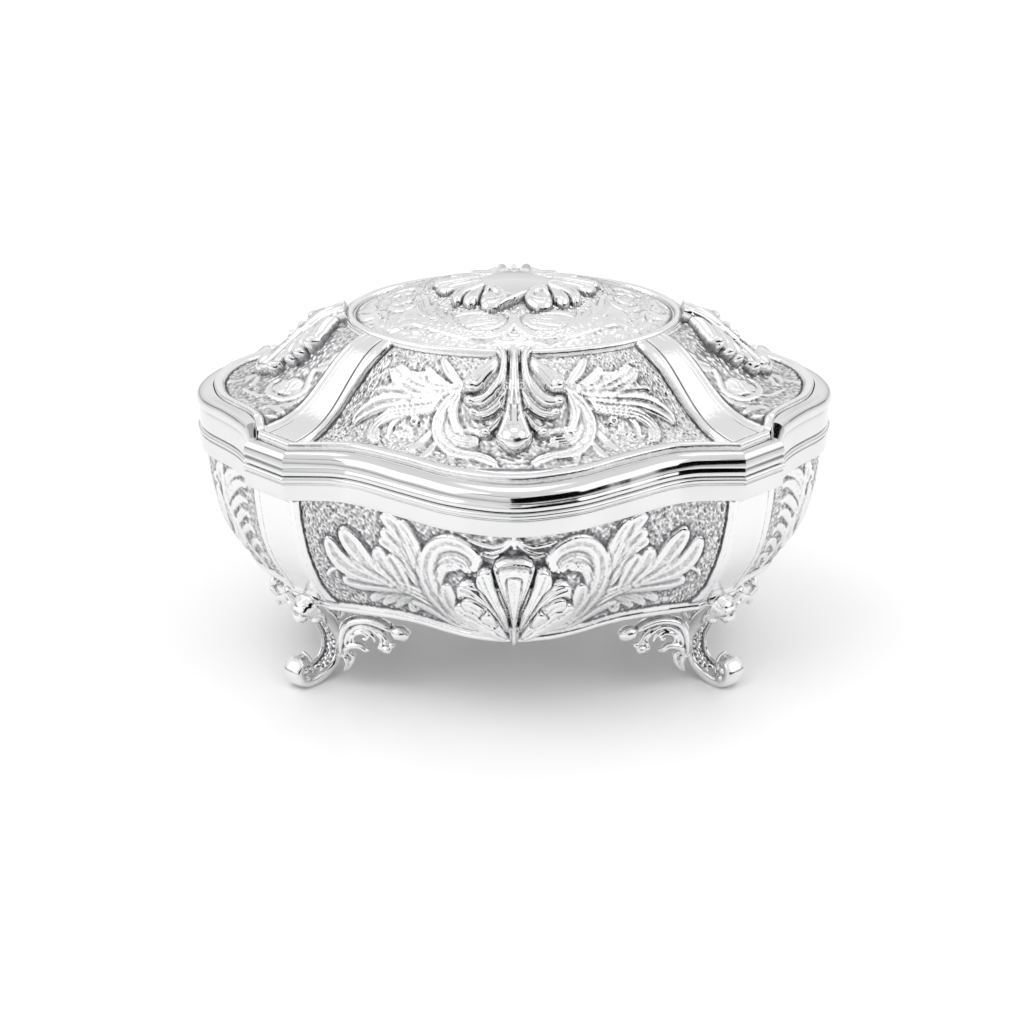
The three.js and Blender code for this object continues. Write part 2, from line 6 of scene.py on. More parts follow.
import bmesh
import bpy
import numpy as np
from mathutils import Matrix, Vector

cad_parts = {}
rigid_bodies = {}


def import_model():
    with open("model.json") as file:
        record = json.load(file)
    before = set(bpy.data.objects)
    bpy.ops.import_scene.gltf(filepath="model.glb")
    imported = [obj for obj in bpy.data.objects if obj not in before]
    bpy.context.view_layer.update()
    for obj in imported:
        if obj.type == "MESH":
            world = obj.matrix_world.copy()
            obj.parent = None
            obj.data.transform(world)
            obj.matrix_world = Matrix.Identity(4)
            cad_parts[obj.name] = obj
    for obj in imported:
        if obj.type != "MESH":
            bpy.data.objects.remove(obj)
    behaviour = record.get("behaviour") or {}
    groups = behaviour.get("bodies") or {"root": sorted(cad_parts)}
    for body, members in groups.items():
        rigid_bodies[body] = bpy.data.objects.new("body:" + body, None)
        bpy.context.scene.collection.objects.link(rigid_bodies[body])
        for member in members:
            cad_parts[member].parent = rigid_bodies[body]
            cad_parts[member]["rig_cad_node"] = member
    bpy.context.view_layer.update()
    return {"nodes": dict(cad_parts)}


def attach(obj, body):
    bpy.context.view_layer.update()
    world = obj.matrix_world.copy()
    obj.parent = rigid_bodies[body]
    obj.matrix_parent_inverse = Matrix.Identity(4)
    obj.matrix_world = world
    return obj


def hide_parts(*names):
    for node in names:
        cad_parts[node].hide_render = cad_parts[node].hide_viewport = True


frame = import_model()
MM = 0.001
rng = np.random.default_rng(7)

# ------------------------------------------------------------------ camera, at the photograph's angle
ELEVATION = math.radians(23.6)
EYE = np.array([0.0, -870.54, 418.74])
LOOK = np.array([0.0, 0.0, 38.41])
FOCAL = 3490.7
SIDE = -0.54
FWD = np.array([0, math.cos(ELEVATION), -math.sin(ELEVATION)])
UP = np.array([0, math.sin(ELEVATION), math.cos(ELEVATION)])


def project(P):
    """Where a point in the object's frame lies in the 1024 x 1024 picture."""
    d = np.asarray(P, float) - EYE
    w = d @ FWD
    return 514 + FOCAL * d[..., 0] / w, 512 - FOCAL * (d @ UP) / w


cam_data = bpy.data.cameras.new("camera")
cam = bpy.data.objects.new("camera", cam_data)
bpy.context.scene.collection.objects.link(cam)
cam.location = Vector(EYE * MM) + Vector((SIDE * MM, 0, 0))
cam.rotation_euler = (Vector(LOOK * MM) - Vector(EYE * MM)).to_track_quat("-Z", "Y").to_euler()
cam_data.sensor_width = 36
cam_data.lens = 18 / (512 / FOCAL)
cam_data.clip_start, cam_data.clip_end = 0.05, 20
bpy.context.scene.camera = cam

# ------------------------------------------------------------------ plan outlines (quarter: x to the side, y to the front)
SEAM_Z = 66.0
R_BODY, R_LID = 17.0, 5.2
OVAL_A, OVAL_B = 44.0, 30.0
OVAL_RISE, CROWN_RISE, LID_Z0 = 30.0, 8.0, 7.2
BODY_BOTTOM = 22.5


def catmull(points, mirror_first, mirror_last, n=40):
    p = np.asarray(points, float)
    a = np.array([-p[1][0], p[1][1]]) if mirror_first else 2 * p[0] - p[1]
    b = np.array([p[-2][0], -p[-2][1]]) if mirror_last else 2 * p[-1] - p[-2]
    q = np.vstack([a, p, b])
    out = []
    for i in range(1, len(q) - 2):
        t = np.linspace(0, 1, n, endpoint=False)[:, None]
        A, B, D, E = q[i - 1], q[i], q[i + 1], q[i + 2]
        out.append(0.5 * (2 * B + (D - A) * t + (2 * A - 5 * B + 4 * D - E) * t ** 2 + (3 * B - A - 3 * D + E) * t ** 3))
    return np.vstack(out + [p[-1:]])


class Run:
    """A line walked by its own length: run(u), u from 0 to 1."""

    def __init__(self, pts):
        self.p = pts
        d = np.r_[0, np.cumsum(np.linalg.norm(np.diff(pts, axis=0), axis=1))]
        self.length = d[-1]
        self.u = d / d[-1]

    def __call__(self, u):
        return np.stack([np.interp(u, self.u, self.p[:, k]) for k in range(self.p.shape[1])], -1)


class Plan:
    def __init__(self, front, corner, notch, end):
        self.front, self.end = Run(catmull(front, True, False)), Run(catmull(end, False, True))
        self.c1, self.c2, self.n, self.e0 = map(np.array, (front[-1], corner, notch, end[0]))

    def at(self, seg, u):
        out = np.zeros((len(seg), 2))
        for k, f in enumerate((self.front, lambda v: self.c1 + (self.c2 - self.c1) * v[:, None], lambda v: self.c2 + (self.n - self.c2) * v[:, None],
                               lambda v: self.n + (self.e0 - self.n) * v[:, None], self.end)):
            m = seg == k
            if m.any():
                out[m] = f(u[m])
        return out


class Oval:
    def __init__(self, a, b):
        self.a, self.b = a, b

    def angle(self, seg, u):
        starts, ends = np.array([90, 40, 32.0, 31.4, 30.9]), np.array([40, 32.0, 31.4, 30.9, 0])
        return np.radians(starts[seg] + (ends[seg] - starts[seg]) * u)

    def at(self, seg, u):
        w = self.angle(seg, u)
        return np.stack([self.a * np.cos(w), self.b * np.sin(w)], -1)


SEAM = Plan([[0, 64.2], [7.3, 63.1], [17.8, 59.1], [28.5, 52.0], [39.6, 44.2], [46.1, 41.3], [52, 40.7], [59.9, 40.5]], [70.6, 30.6], [69.0, 29.4],
            [[70.2, 28.2], [71.9, 24.2], [74.2, 20.0], [77.4, 15.7], [81.0, 11.2], [83.6, 6.2], [84.7, 0]])
LID = Plan([[0, 58.5], [7.3, 57.3], [17.9, 52.6], [28.7, 44.8], [39.6, 38.4], [46.5, 37.0], [53, 36.9], [58.4, 37.1]], [66.3, 29.2], [66.4, 28.8],
           [[66.7, 28.3], [67.6, 25.4], [69.0, 22.2], [71.2, 19.2], [74.2, 15.7], [76.7, 12.3], [78.4, 8.4], [79.4, 3.9], [79.8, 0]])
END_RAISE = 3.4
FOOT = Plan([[0, 47], [4, 46.7], [10.6, 45], [17.3, 41.3], [22.4, 37.8], [27.5, 34.9], [37.6, 31.4], [47.3, 28.0]], [57.3, 18.6], [56.0, 17.2],
            [[57.8, 16.4], [58.9, 13.6], [60.4, 10.8], [62.6, 7.9], [65.0, 5.0], [66.5, 2.4], [67.1, 0]])
OVAL = Oval(OVAL_A, OVAL_B)


class Cols:
    """Columns of a loft, counter-clockwise: which part of a quarter, how far along it, and in which quarter."""

    def __init__(self, seg, u, sx, sy):
        self.seg, self.u, self.sx, self.sy = seg, u, sx, sy

    def at(self, plan):
        p = plan.at(self.seg, self.u)
        return np.stack([p[:, 0] * self.sx, p[:, 1] * self.sy], -1)

    def __len__(self):
        return len(self.seg)

    def skin_raised(self):
        """The same for the lid's skin, which comes down to the corner band."""
        return np.where(self.seg == 4, smoothstep(self.u, 0.0, 0.13), 0.0)

    def raised(self):
        """1 on the ends, whose moulding stands higher, 0 on the front and the canted corners."""
        return np.where(self.seg == 4, 1.0, np.where(self.seg == 3, self.u, 0.0))


def spread(n_front=0, n_corner=0, n_end=0, which="all"):
    """front: C1 to C1 across the front. right: from the front right corner round to the back right one."""
    def front(sy):
        s = np.linspace(-1, 1, n_front)
        s = np.sign(s) * (1 - (1 - np.abs(s)) ** 1.22 * (1 - 0.30 * np.abs(s)))
        if sy > 0:
            s = s[::-1]
        return [(0, abs(v), -1 if v < 0 else 1, sy) for v in s]

    def side(sx):
        half = [(1, v, sx, -1) for v in 0.5 - 0.5 * np.cos(np.pi * np.linspace(0, 1, n_corner))]
        half += [(2, v, sx, -1) for v in np.linspace(0, 1, 4)[1:]] + [(3, v, sx, -1) for v in np.linspace(0, 1, 4)[1:]]
        half += [(4, v, sx, -1) for v in np.linspace(0, 1, n_end)[1:]]
        other = [(a, b, c, 1) for a, b, c, d in half[-2::-1]]
        full = half + other
        return full if sx > 0 else full[::-1]

    rows = {"front": lambda: front(-1), "back": lambda: front(1), "right": lambda: side(1), "left": lambda: [(a, b, c, d) for a, b, c, d in side(-1)]}
    if which == "all":
        full = front(-1) + side(1)[1:] + front(1)[1:] + side(-1)[1:-1]
    else:
        full = rows[which]()
    a = np.array(full, float)
    return Cols(a[:, 0].astype(int), a[:, 1], a[:, 2], a[:, 3])


def loft(cols, A, B, k, scale, dz):
    """Rows (k, dz) of a loft between plans A and B: k millimetres inwards of `scale`, dz above the seam."""
    a, b = cols.at(A), cols.at(B)
    k, dz = np.asarray(k, float), np.asarray(dz, float)
    w = (k / scale)[:, None, None]
    xy = a[None] * (1 - w) + b[None] * w
    z = np.broadcast_to((SEAM_Z + dz)[:, None, None], xy.shape[:2] + (1,))
    return np.concatenate([xy, z], -1)


def smoothstep(x, lo, hi):
    t = np.clip((x - lo) / (hi - lo), 0, 1)
    return t * t * (3 - 2 * t)


def cubic(xs, ys):
    """A smooth line through points: natural cubic spline as a function."""
    xs, ys = np.asarray(xs, float), np.asarray(ys, float)
    n, h = len(xs), np.diff(xs)
    M, R = np.eye(n), np.zeros(n)
    for i in range(1, n - 1):
        M[i, i - 1:i + 2] = h[i - 1], 2 * (h[i - 1] + h[i]), h[i]
        R[i] = 6 * ((ys[i + 1] - ys[i]) / h[i] - (ys[i] - ys[i - 1]) / h[i - 1])
    m = np.linalg.solve(M, R)

    def f(x):
        x = np.asarray(x, float)
        i = np.clip(np.searchsorted(xs, x) - 1, 0, n - 2)
        a, b = xs[i + 1] - x, x - xs[i]
        return (m[i] * a ** 3 + m[i + 1] * b ** 3) / (6 * h[i]) + (ys[i] / h[i] - m[i] * h[i] / 6) * a + (ys[i + 1] / h[i] - m[i + 1] * h[i] / 6) * b
    return f


# ------------------------------------------------------------------ chasing: strokes laid on a ground
def spline(points, n):
    p = np.asarray(points, float)
    if len(p) == 2:
        t = np.linspace(0, 1, n)[:, None]
        return p[0] + (p[1] - p[0]) * t
    q = np.vstack([2 * p[0] - p[1], p, 2 * p[-1] - p[-2]])
    k = len(p) - 1
    t = np.linspace(0, k, n)
    i = np.minimum(t.astype(int), k - 1)
    f = (t - i)[:, None]
    a, b, c, d = q[i], q[i + 1], q[i + 2], q[i + 3]
    return 0.5 * (2 * b + (c - a) * f + (2 * a - 5 * b + 4 * c - d) * f ** 2 + (3 * b - a - 3 * c + d) * f ** 3)


PROFILES = {
    "round": lambda q: np.sqrt(np.clip(1 - q * q, 0, 1)),
    "soft": lambda q: (1 - q * q) ** 1.2,
    "spoon": lambda q: (0.42 + 0.58 * np.abs(q) ** 2.2) * smoothstep(1 - np.abs(q), 0, 0.28) ** 0.5 * 1.25,
    "leaf": lambda q: (0.84 - 0.20 * np.exp(-(q / 0.15) ** 2) + 0.085 * np.cos(q * 14.0)) * smoothstep(1 - np.abs(q), 0, 0.30) ** 0.6,
    "flute": lambda q: (0.78 + 0.16 * np.cos(q * 11.0)) * smoothstep(1 - np.abs(q), 0, 0.3) ** 0.6,
    "flute5": lambda q: (0.80 + 0.15 * np.cos(q * 17.0)) * smoothstep(1 - np.abs(q), 0, 0.25) ** 0.6,
    "flat": lambda q: smoothstep(1 - np.abs(q), 0, 0.3) ** 0.7,
}


def polygon_sd(x, y, poly, closed=True):
    """Signed distance to a closed outline, positive inside."""
    p = np.asarray(poly, float)
    q = np.roll(p, -1, 0) if closed else p[1:]
    p = p if closed else p[:-1]
    best = np.full(x.shape, 1e9)
    inside = np.zeros(x.shape, bool)
    for (ax, ay), (bx, by) in zip(p, q):
        ex, ey = bx - ax, by - ay
        f = np.clip(((x - ax) * ex + (y - ay) * ey) / (ex * ex + ey * ey + 1e-12), 0, 1)
        best = np.minimum(best, np.hypot(x - ax - f * ex, y - ay - f * ey))
        if ay != by:
            cross = (ay > y) != (by > y)
            inside ^= cross & (x < (bx - ax) * (y - ay) / (by - ay) + ax)
    return np.where(inside, best, -best)


class Relief:
    """Heights over scattered points, in the strokes' own units; k scales the strokes' widths."""

    def __init__(self, x, y, to=None, k=1.0, fat=1.0):
        self.shape, self.fat = x.shape, fat
        self.x, self.y = x.ravel(), y.ravel()
        self.h = np.zeros_like(self.x)
        self.to, self.k = to, k

    def place(self, points):
        P = [tuple(p) + (1.0,) * (4 - len(p)) for p in points]
        if self.to is None:
            return [(p[0], p[1], p[2] * self.fat, p[3]) for p in P]
        return [tuple(self.to(p[0], p[1])) + (p[2] * self.k * self.fat, p[3]) for p in P]

    def stroke(self, points, height=0.8, profile="leaf", halo=0.25, mode="max", n=36):
        d = spline(self.place(points), n)
        w = np.maximum(d[:, 2], 0.1)
        reach = w.max() * 1.6 + 0.5 * self.k
        lo, hi = d[:, :2].min(0) - reach, d[:, :2].max(0) + reach
        idx = np.nonzero((self.x > lo[0]) & (self.x < hi[0]) & (self.y > lo[1]) & (self.y < hi[1]))[0]
        if not len(idx):
            return self
        X, Y = self.x[idx], self.y[idx]
        ax, ay = d[:-1, 0], d[:-1, 1]
        ex, ey = np.diff(d[:, 0]), np.diff(d[:, 1])
        L2 = ex * ex + ey * ey + 1e-9
        best = np.full(len(idx), 1e9)
        bq, bh = np.zeros(len(idx)), np.zeros(len(idx))
        for k in range(n - 1):
            f = np.clip(((X - ax[k]) * ex[k] + (Y - ay[k]) * ey[k]) / L2[k], 0, 1)
            dx, dy = X - (ax[k] + f * ex[k]), Y - (ay[k] + f * ey[k])
            q = np.hypot(dx, dy) / (w[k] + (w[k + 1] - w[k]) * f)
            better = q < best
            if better.any():
                best = np.where(better, q, best)
                bq = np.where(better, q * np.sign(ex[k] * dy - ey[k] * dx), bq)
                bh = np.where(better, d[k, 3] + (d[k + 1, 3] - d[k, 3]) * f, bh)
        inside = best < 1
        hs = height * bh * PROFILES[profile](np.clip(bq, -1, 1))
        old = self.h[idx]
        if halo:
            ring = np.exp(-((best - 1.12) / 0.16) ** 2) * (best >= 0.97)
            old = np.where(inside, old, old - halo * np.clip(old, 0, 0.6) * ring)
        new = {"max": lambda: np.where(inside, np.maximum(old, hs), old), "over": lambda: np.where(inside, np.maximum(hs, old * 0.35), old),
               "cut": lambda: np.where(inside, old - hs, old), "add": lambda: np.where(inside, old + hs, old)}[mode]()
        self.h[idx] = new
        return self

    def pad(self, poly, height, soft=2.5, halo=0.3, low=0.3, smooth=True):
        """A cushion with a given outline, laid over what is there."""
        pts = [self.to(*p) for p in poly] if self.to is not None else [tuple(p) for p in poly]
        if smooth:
            ring = np.asarray(pts + pts[:3], float)
            pts = spline(ring, 6 * len(ring))[6:6 * (len(ring) - 2) + 6]
        pts = np.asarray(pts, float)
        lo, hi = pts.min(0) - 1.5 * self.k, pts.max(0) + 1.5 * self.k
        idx = np.nonzero((self.x > lo[0]) & (self.x < hi[0]) & (self.y > lo[1]) & (self.y < hi[1]))[0]
        if not len(idx):
            return self
        sd = polygon_sd(self.x[idx], self.y[idx], pts)
        q = np.clip(sd / (soft * self.k), 0, 1)
        hs = height * np.sqrt(np.clip(1 - (1 - q) ** 2, 0, 1))
        old = self.h[idx]
        edge = old - halo * np.clip(old, 0, 1.0) * np.exp(-((sd + 0.45 * self.k) / (0.5 * self.k)) ** 2)
        self.h[idx] = np.where(sd > 0, np.maximum(hs, old * low), edge)
        return self

    def mass(self, poly, height=0.4, soft=2.0):
        """A filled area with a soft edge, for the web between lobes."""
        pts = [self.to(*p) for p in poly] if self.to is not None else poly
        sd = polygon_sd(self.x, self.y, pts)
        self.h = np.maximum(self.h, height * smoothstep(sd, 0, soft * self.k))
        return self

    def ball(self, x, y, r, height):
        x, y = self.to(x, y) if self.to is not None else (x, y)
        r = r * self.k
        q = np.hypot(self.x - x, self.y - y) / r
        self.h = np.where(q < 1, np.maximum(self.h, height * np.sqrt(np.clip(1 - q * q, 0, 1))), self.h)
        return self

    def spiral(self, x, y, r0, r1, a0, turns, w, height=0.7, profile="round"):
        a = np.radians(a0) + np.linspace(0, 2 * np.pi * turns, 14)
        r = np.linspace(r0, r1, 14)
        return self.stroke([(x + rr * np.cos(aa), y + rr * np.sin(aa), w * (1 - 0.3 * k / 13)) for k, (rr, aa) in enumerate(zip(r, a))], height, profile)

    def get(self):
        return self.h.reshape(self.shape)


BODY_EDGE = [(298.2, 500.0), (298.4, 504.1), (300.3, 522.5), (306.3, 550.7), (312.3, 568), (320.9, 586.5), (330.7, 598.4), (339.4, 604.9), (346.5, 607.4)]
LID_EDGE = [(393.5, 341.0), (392.1, 342.4), (380.6, 354.9), (367.2, 370.2), (353.8, 391.2), (342.4, 409.4), (325.1, 429.5), (310.8, 441.5), (306, 445)]


def by_sight(px, py, U, V):
    """Finds the surface coordinates (U, V) of the grid point seen nearest a pixel."""
    def to(x, y):
        i = int(np.argmin((px - x) ** 2 + (py - y) ** 2))
        return float(U.flat[i]), float(V.flat[i])
    return to


def body_front(x, y):
    R = Relief(x, y, fat=1.2)
    s = R.stroke
    R.mass([(472, 630), (452, 624), (430, 606), (404, 594), (372, 586), (352, 580), (349, 566), (360, 566), (378, 572), (398, 578), (420, 590), (440, 602), (470, 622)], 0.45)
    R.mass([(440, 604), (420, 592), (404, 568), (392, 550), (396, 530), (410, 540), (424, 566), (440, 592)], 0.5)
    R.mass([(458, 618), (440, 606), (426, 588), (424, 566), (430, 550), (448, 546), (466, 552), (474, 566), (462, 572), (450, 566), (442, 576), (446, 592), (456, 608)], 0.5)
    # ribbon at the top middle
    s([(468, 541, 1.2), (482, 546, 1.9), (494, 548, 1.9), (503, 545.5, 1.8), (509, 541, 1.4)], 0.5, "round")
    s([(481, 555, 1.4), (492, 555, 2.0), (502, 551.5, 2.0), (509, 546, 1.9), (512.5, 541, 1.6)], 0.6, "round")
    s([(515, 538, 2.2), (515, 545, 3.0), (515, 552, 2.2)], 0.7, "round")
    # fan of flutes under the long stem
    s([(414, 592, 3), (397, 592, 4.5), (383, 594, 5), (373, 599, 3.4)], 0.38, "flute")
    s([(420, 594, 3), (404, 596, 4.5), (392, 599, 4.6), (385, 603, 3.0)], 0.42, "flute")
    s([(424, 597, 2.5), (412, 599, 3.6), (403, 602, 3.6), (397, 606, 2.6)], 0.42, "flute")
    # hook over the lowest lobe
    s([(356, 573, 1.3), (345, 569.5, 1.7), (336, 569, 1.8), (330, 571.5, 1.7), (328, 575.5, 1.4)], 0.45, "round")
    # upright leaf
    s([(437, 603, 3), (426, 591, 4.5), (416, 580, 5), (408, 568, 5.2), (400, 557, 4.8), (391, 549.5, 3.4)], 0.62, "flute")
    s([(420, 573, 3.5), (408, 558, 5), (395, 548, 5.6), (385, 543, 5.0), (381.5, 541, 3.6)], 0.72, "leaf")
    s([(422, 575, 3.5), (411, 556, 5.4), (400, 545, 6.4), (390, 537.5, 6.2), (384, 533, 4.6)], 0.78, "leaf")
    s([(428, 586, 3), (417, 564, 5.4), (408, 545, 6.8), (397, 530, 7.0), (388, 520.5, 5.8), (383.5, 517, 4)], 0.85, "leaf")
    s([(432, 592, 3), (422, 572, 5.2), (415, 553, 6), (408.5, 538, 5.8), (402, 526.5, 4.8), (398.5, 522, 3.2)], 0.9, "leaf")
    # long stem and the wide leaf
    s([(474, 630, 3), (458, 622.5, 4.4), (446, 612.5, 4.8), (430, 601, 4.8), (412, 591, 4.8), (392, 584, 5), (372, 577.5, 5)], 0.8, "flute")
    s([(418, 592, 3), (398, 587.5, 5.4), (378, 584.5, 6.8), (360, 582.5, 7), (348, 580.5, 5)], 0.72, "leaf")
    s([(408, 590, 3), (401, 578, 5.4), (395, 567, 5.8), (389.5, 559, 4.6)], 0.78, "leaf")
    s([(402, 588, 3), (392, 577, 5.6), (383, 565, 6.8), (377.5, 554, 6)], 0.84, "leaf")
    s([(392, 584, 3.5), (374, 572, 6.6), (362, 559, 8.2), (352, 545, 8.4), (345, 535.5, 6.4), (343, 532, 4.4)], 0.92, "leaf")
    s([(384, 582, 3.2), (364, 575.5, 6), (347, 566.5, 7.6), (336, 555.5, 7.2), (330, 545, 5.6), (328.5, 541, 4)], 0.9, "leaf")
    # lower strand and its curl
    s([(476, 631, 2.6), (456, 623.5, 3.2), (438, 614.5, 3.2), (424, 607.5, 3), (413, 603, 2.4)], 0.66, "round")
    R.spiral(414.5, 606.8, 5.2, 1.6, 200, -1.2, 1.9, 0.6)
    # the large C scroll
    s([(448, 612, 4), (439, 600, 6), (433, 586, 7), (433, 571, 7.5), (441, 560, 8), (453, 557, 8.5), (464, 562, 8), (468, 567.5, 6.4)], 0.72, "flute5")
    s([(446, 606, 3), (438, 590, 4.4), (438, 577, 4.8), (445, 568.5, 4.6), (455, 567, 4.4)], 0.8, "flute")
    s([(454, 617, 4), (441, 604, 6), (430.5, 589, 7), (426, 573, 7.4), (428, 556, 7.6), (437, 545.5, 7.6), (449, 543, 6.8), (461, 546.5, 5.8), (471, 553, 5.2), (476.5, 561.5, 4.8), (475, 569, 3.6)], 0.98, "leaf")
    s([(458, 620, 3.5), (451, 606, 5.6), (447, 596, 6.2), (445.5, 589.5, 4.8)], 0.9, "leaf")
    return R.get()


def lid_front(x, y):
    R = Relief(x, y, fat=1.2)
    s = R.stroke

    def c(*pts):
        return [(330 + a / 11.2, 335 + b / 11.2) for a, b in pts]
    R.mass(c((600, 600), (680, 520), (690, 380), (800, 300), (880, 380), (980, 400), (1080, 390), (1090, 480), (1200, 560), (1380, 570), (1480, 540), (1400, 650), (1100, 640), (900, 630)), 0.5, 1.6)
    R.mass(c((275, 985), (330, 900), (400, 820), (480, 740), (560, 650), (640, 600), (900, 600), (1300, 630), (1420, 640), (1240, 700), (1060, 712), (860, 705), (660, 745), (500, 812), (380, 890)), 0.55, 1.6)
    R.mass(c((440, 1150), (430, 1050), (500, 940), (600, 850), (740, 770), (900, 735), (1080, 730), (1320, 690), (1240, 780), (1100, 860), (980, 890), (860, 900), (740, 905), (640, 940), (560, 1030), (555, 1130), (590, 1160), (500, 1190)), 0.5, 1.6)
    R.mass(c((1480, 560), (1380, 700), (1250, 850), (1180, 980), (1170, 1100), (1220, 1240), (1330, 1330), (1480, 1390), (1568, 1400), (1568, 1200), (1440, 1160), (1330, 1060), (1300, 940), (1380, 780), (1460, 660)), 0.5, 1.8)
    R.mass([(462, 392), (440, 392), (418, 391), (400, 384), (392, 374), (402, 370), (416, 378), (436, 384), (456, 384)], 0.4)
    R.mass([(461, 396), (440, 402), (412, 406), (386, 408), (366, 416), (360, 412), (376, 400), (400, 394), (436, 392)], 0.45)
    R.mass([(462, 394), (450, 408), (446, 424), (452, 438), (470, 446), (492, 456), (488, 464), (462, 458), (442, 448), (434, 430), (438, 410), (450, 396)], 0.45)
    # upper spray
    s([(462, 386, 2.5), (455, 379, 4.2), (449, 371, 5), (445, 363.5, 3.8), (444, 360, 2.8)], 0.6, "leaf")
    s([(461, 389, 2.4), (447, 386, 3.8), (436, 380, 4.8), (430, 373.5, 4.2), (428, 369.5, 2.8)], 0.6, "leaf")
    s([(461, 390, 2.2), (440, 391, 3.8), (424, 388, 5.2), (411, 381, 5.6), (404, 372.5, 4.8), (402, 368, 3.2)], 0.72, "leaf")
    s([(446, 392, 2.4), (424, 392.5, 4.2), (408, 388.5, 5.2), (397, 380, 5), (392.5, 371.5, 3.6)], 0.66, "leaf")
    # long leaf to the left
    s([(461, 390, 2.2), (438, 395, 3.4), (415, 395.5, 4.8), (395, 392.5, 5.2), (381, 390, 3.8)], 0.66, "leaf")
    s([(461, 391, 2.4), (436, 398, 4.2), (410, 400, 6.4), (388, 402, 7.6), (371, 408, 6.8), (360, 415.5, 5), (355, 421.5, 3)], 0.85, "leaf")
    s([(418, 399, 2), (398, 396.5, 3.2), (382, 397.5, 3.6), (371, 401, 2.6)], 0.6, "flute")
    # lower curl
    s([(460, 392, 2.2), (446, 401, 3.2), (428, 409, 4.2), (408, 411.5, 4.8), (391, 414.5, 5), (378, 422, 4.8), (371, 432, 4.2), (371.5, 439, 3.2), (378, 441, 2.4)], 0.75, "flute")
    R.spiral(413.5, 420.5, 5.0, 1.5, 250, 1.2, 1.8, 0.55)
    s([(404, 415, 1.5), (396, 420, 2.4), (390, 427, 2.6), (388, 434, 1.8)], 0.45, "leaf")
    # big C scroll down
    s([(450, 398, 3), (444, 410, 5), (442, 422, 6), (446, 432, 6.4), (456, 438.5, 6.4), (468, 441, 6.2), (474, 441.5, 5.0)], 0.7, "flute5")
    s([(460, 391, 2.4), (449, 401, 4.2), (440.5, 414, 5.2), (437, 427, 5.6), (440, 440, 5.6), (449, 449, 5.0), (462, 453.5, 4.2), (476, 455.5, 4.0), (488, 459, 4.0), (495, 463, 2.8)], 0.88, "leaf")
    s([(459, 395, 2.4), (454.5, 406, 3.8), (453, 417, 4.4), (456.5, 427, 4.0), (462, 431, 2.8)], 0.8, "leaf")
    s([(447, 447, 2.2), (450, 455, 3.2), (452.5, 463, 2.4)], 0.55, "leaf")
    s([(436, 425, 1.6), (428, 434, 3), (421, 441, 3.4), (412, 447, 2.4)], 0.4, "flute")
    s([(438, 437, 1.6), (432, 446, 2.8), (426, 452, 2.8), (419, 457, 2.0)], 0.4, "flute")
    s([(462, 431, 2), (472, 430, 3), (480, 433, 2.8), (486, 439, 2.2)], 0.4, "flute")
    return R.get()


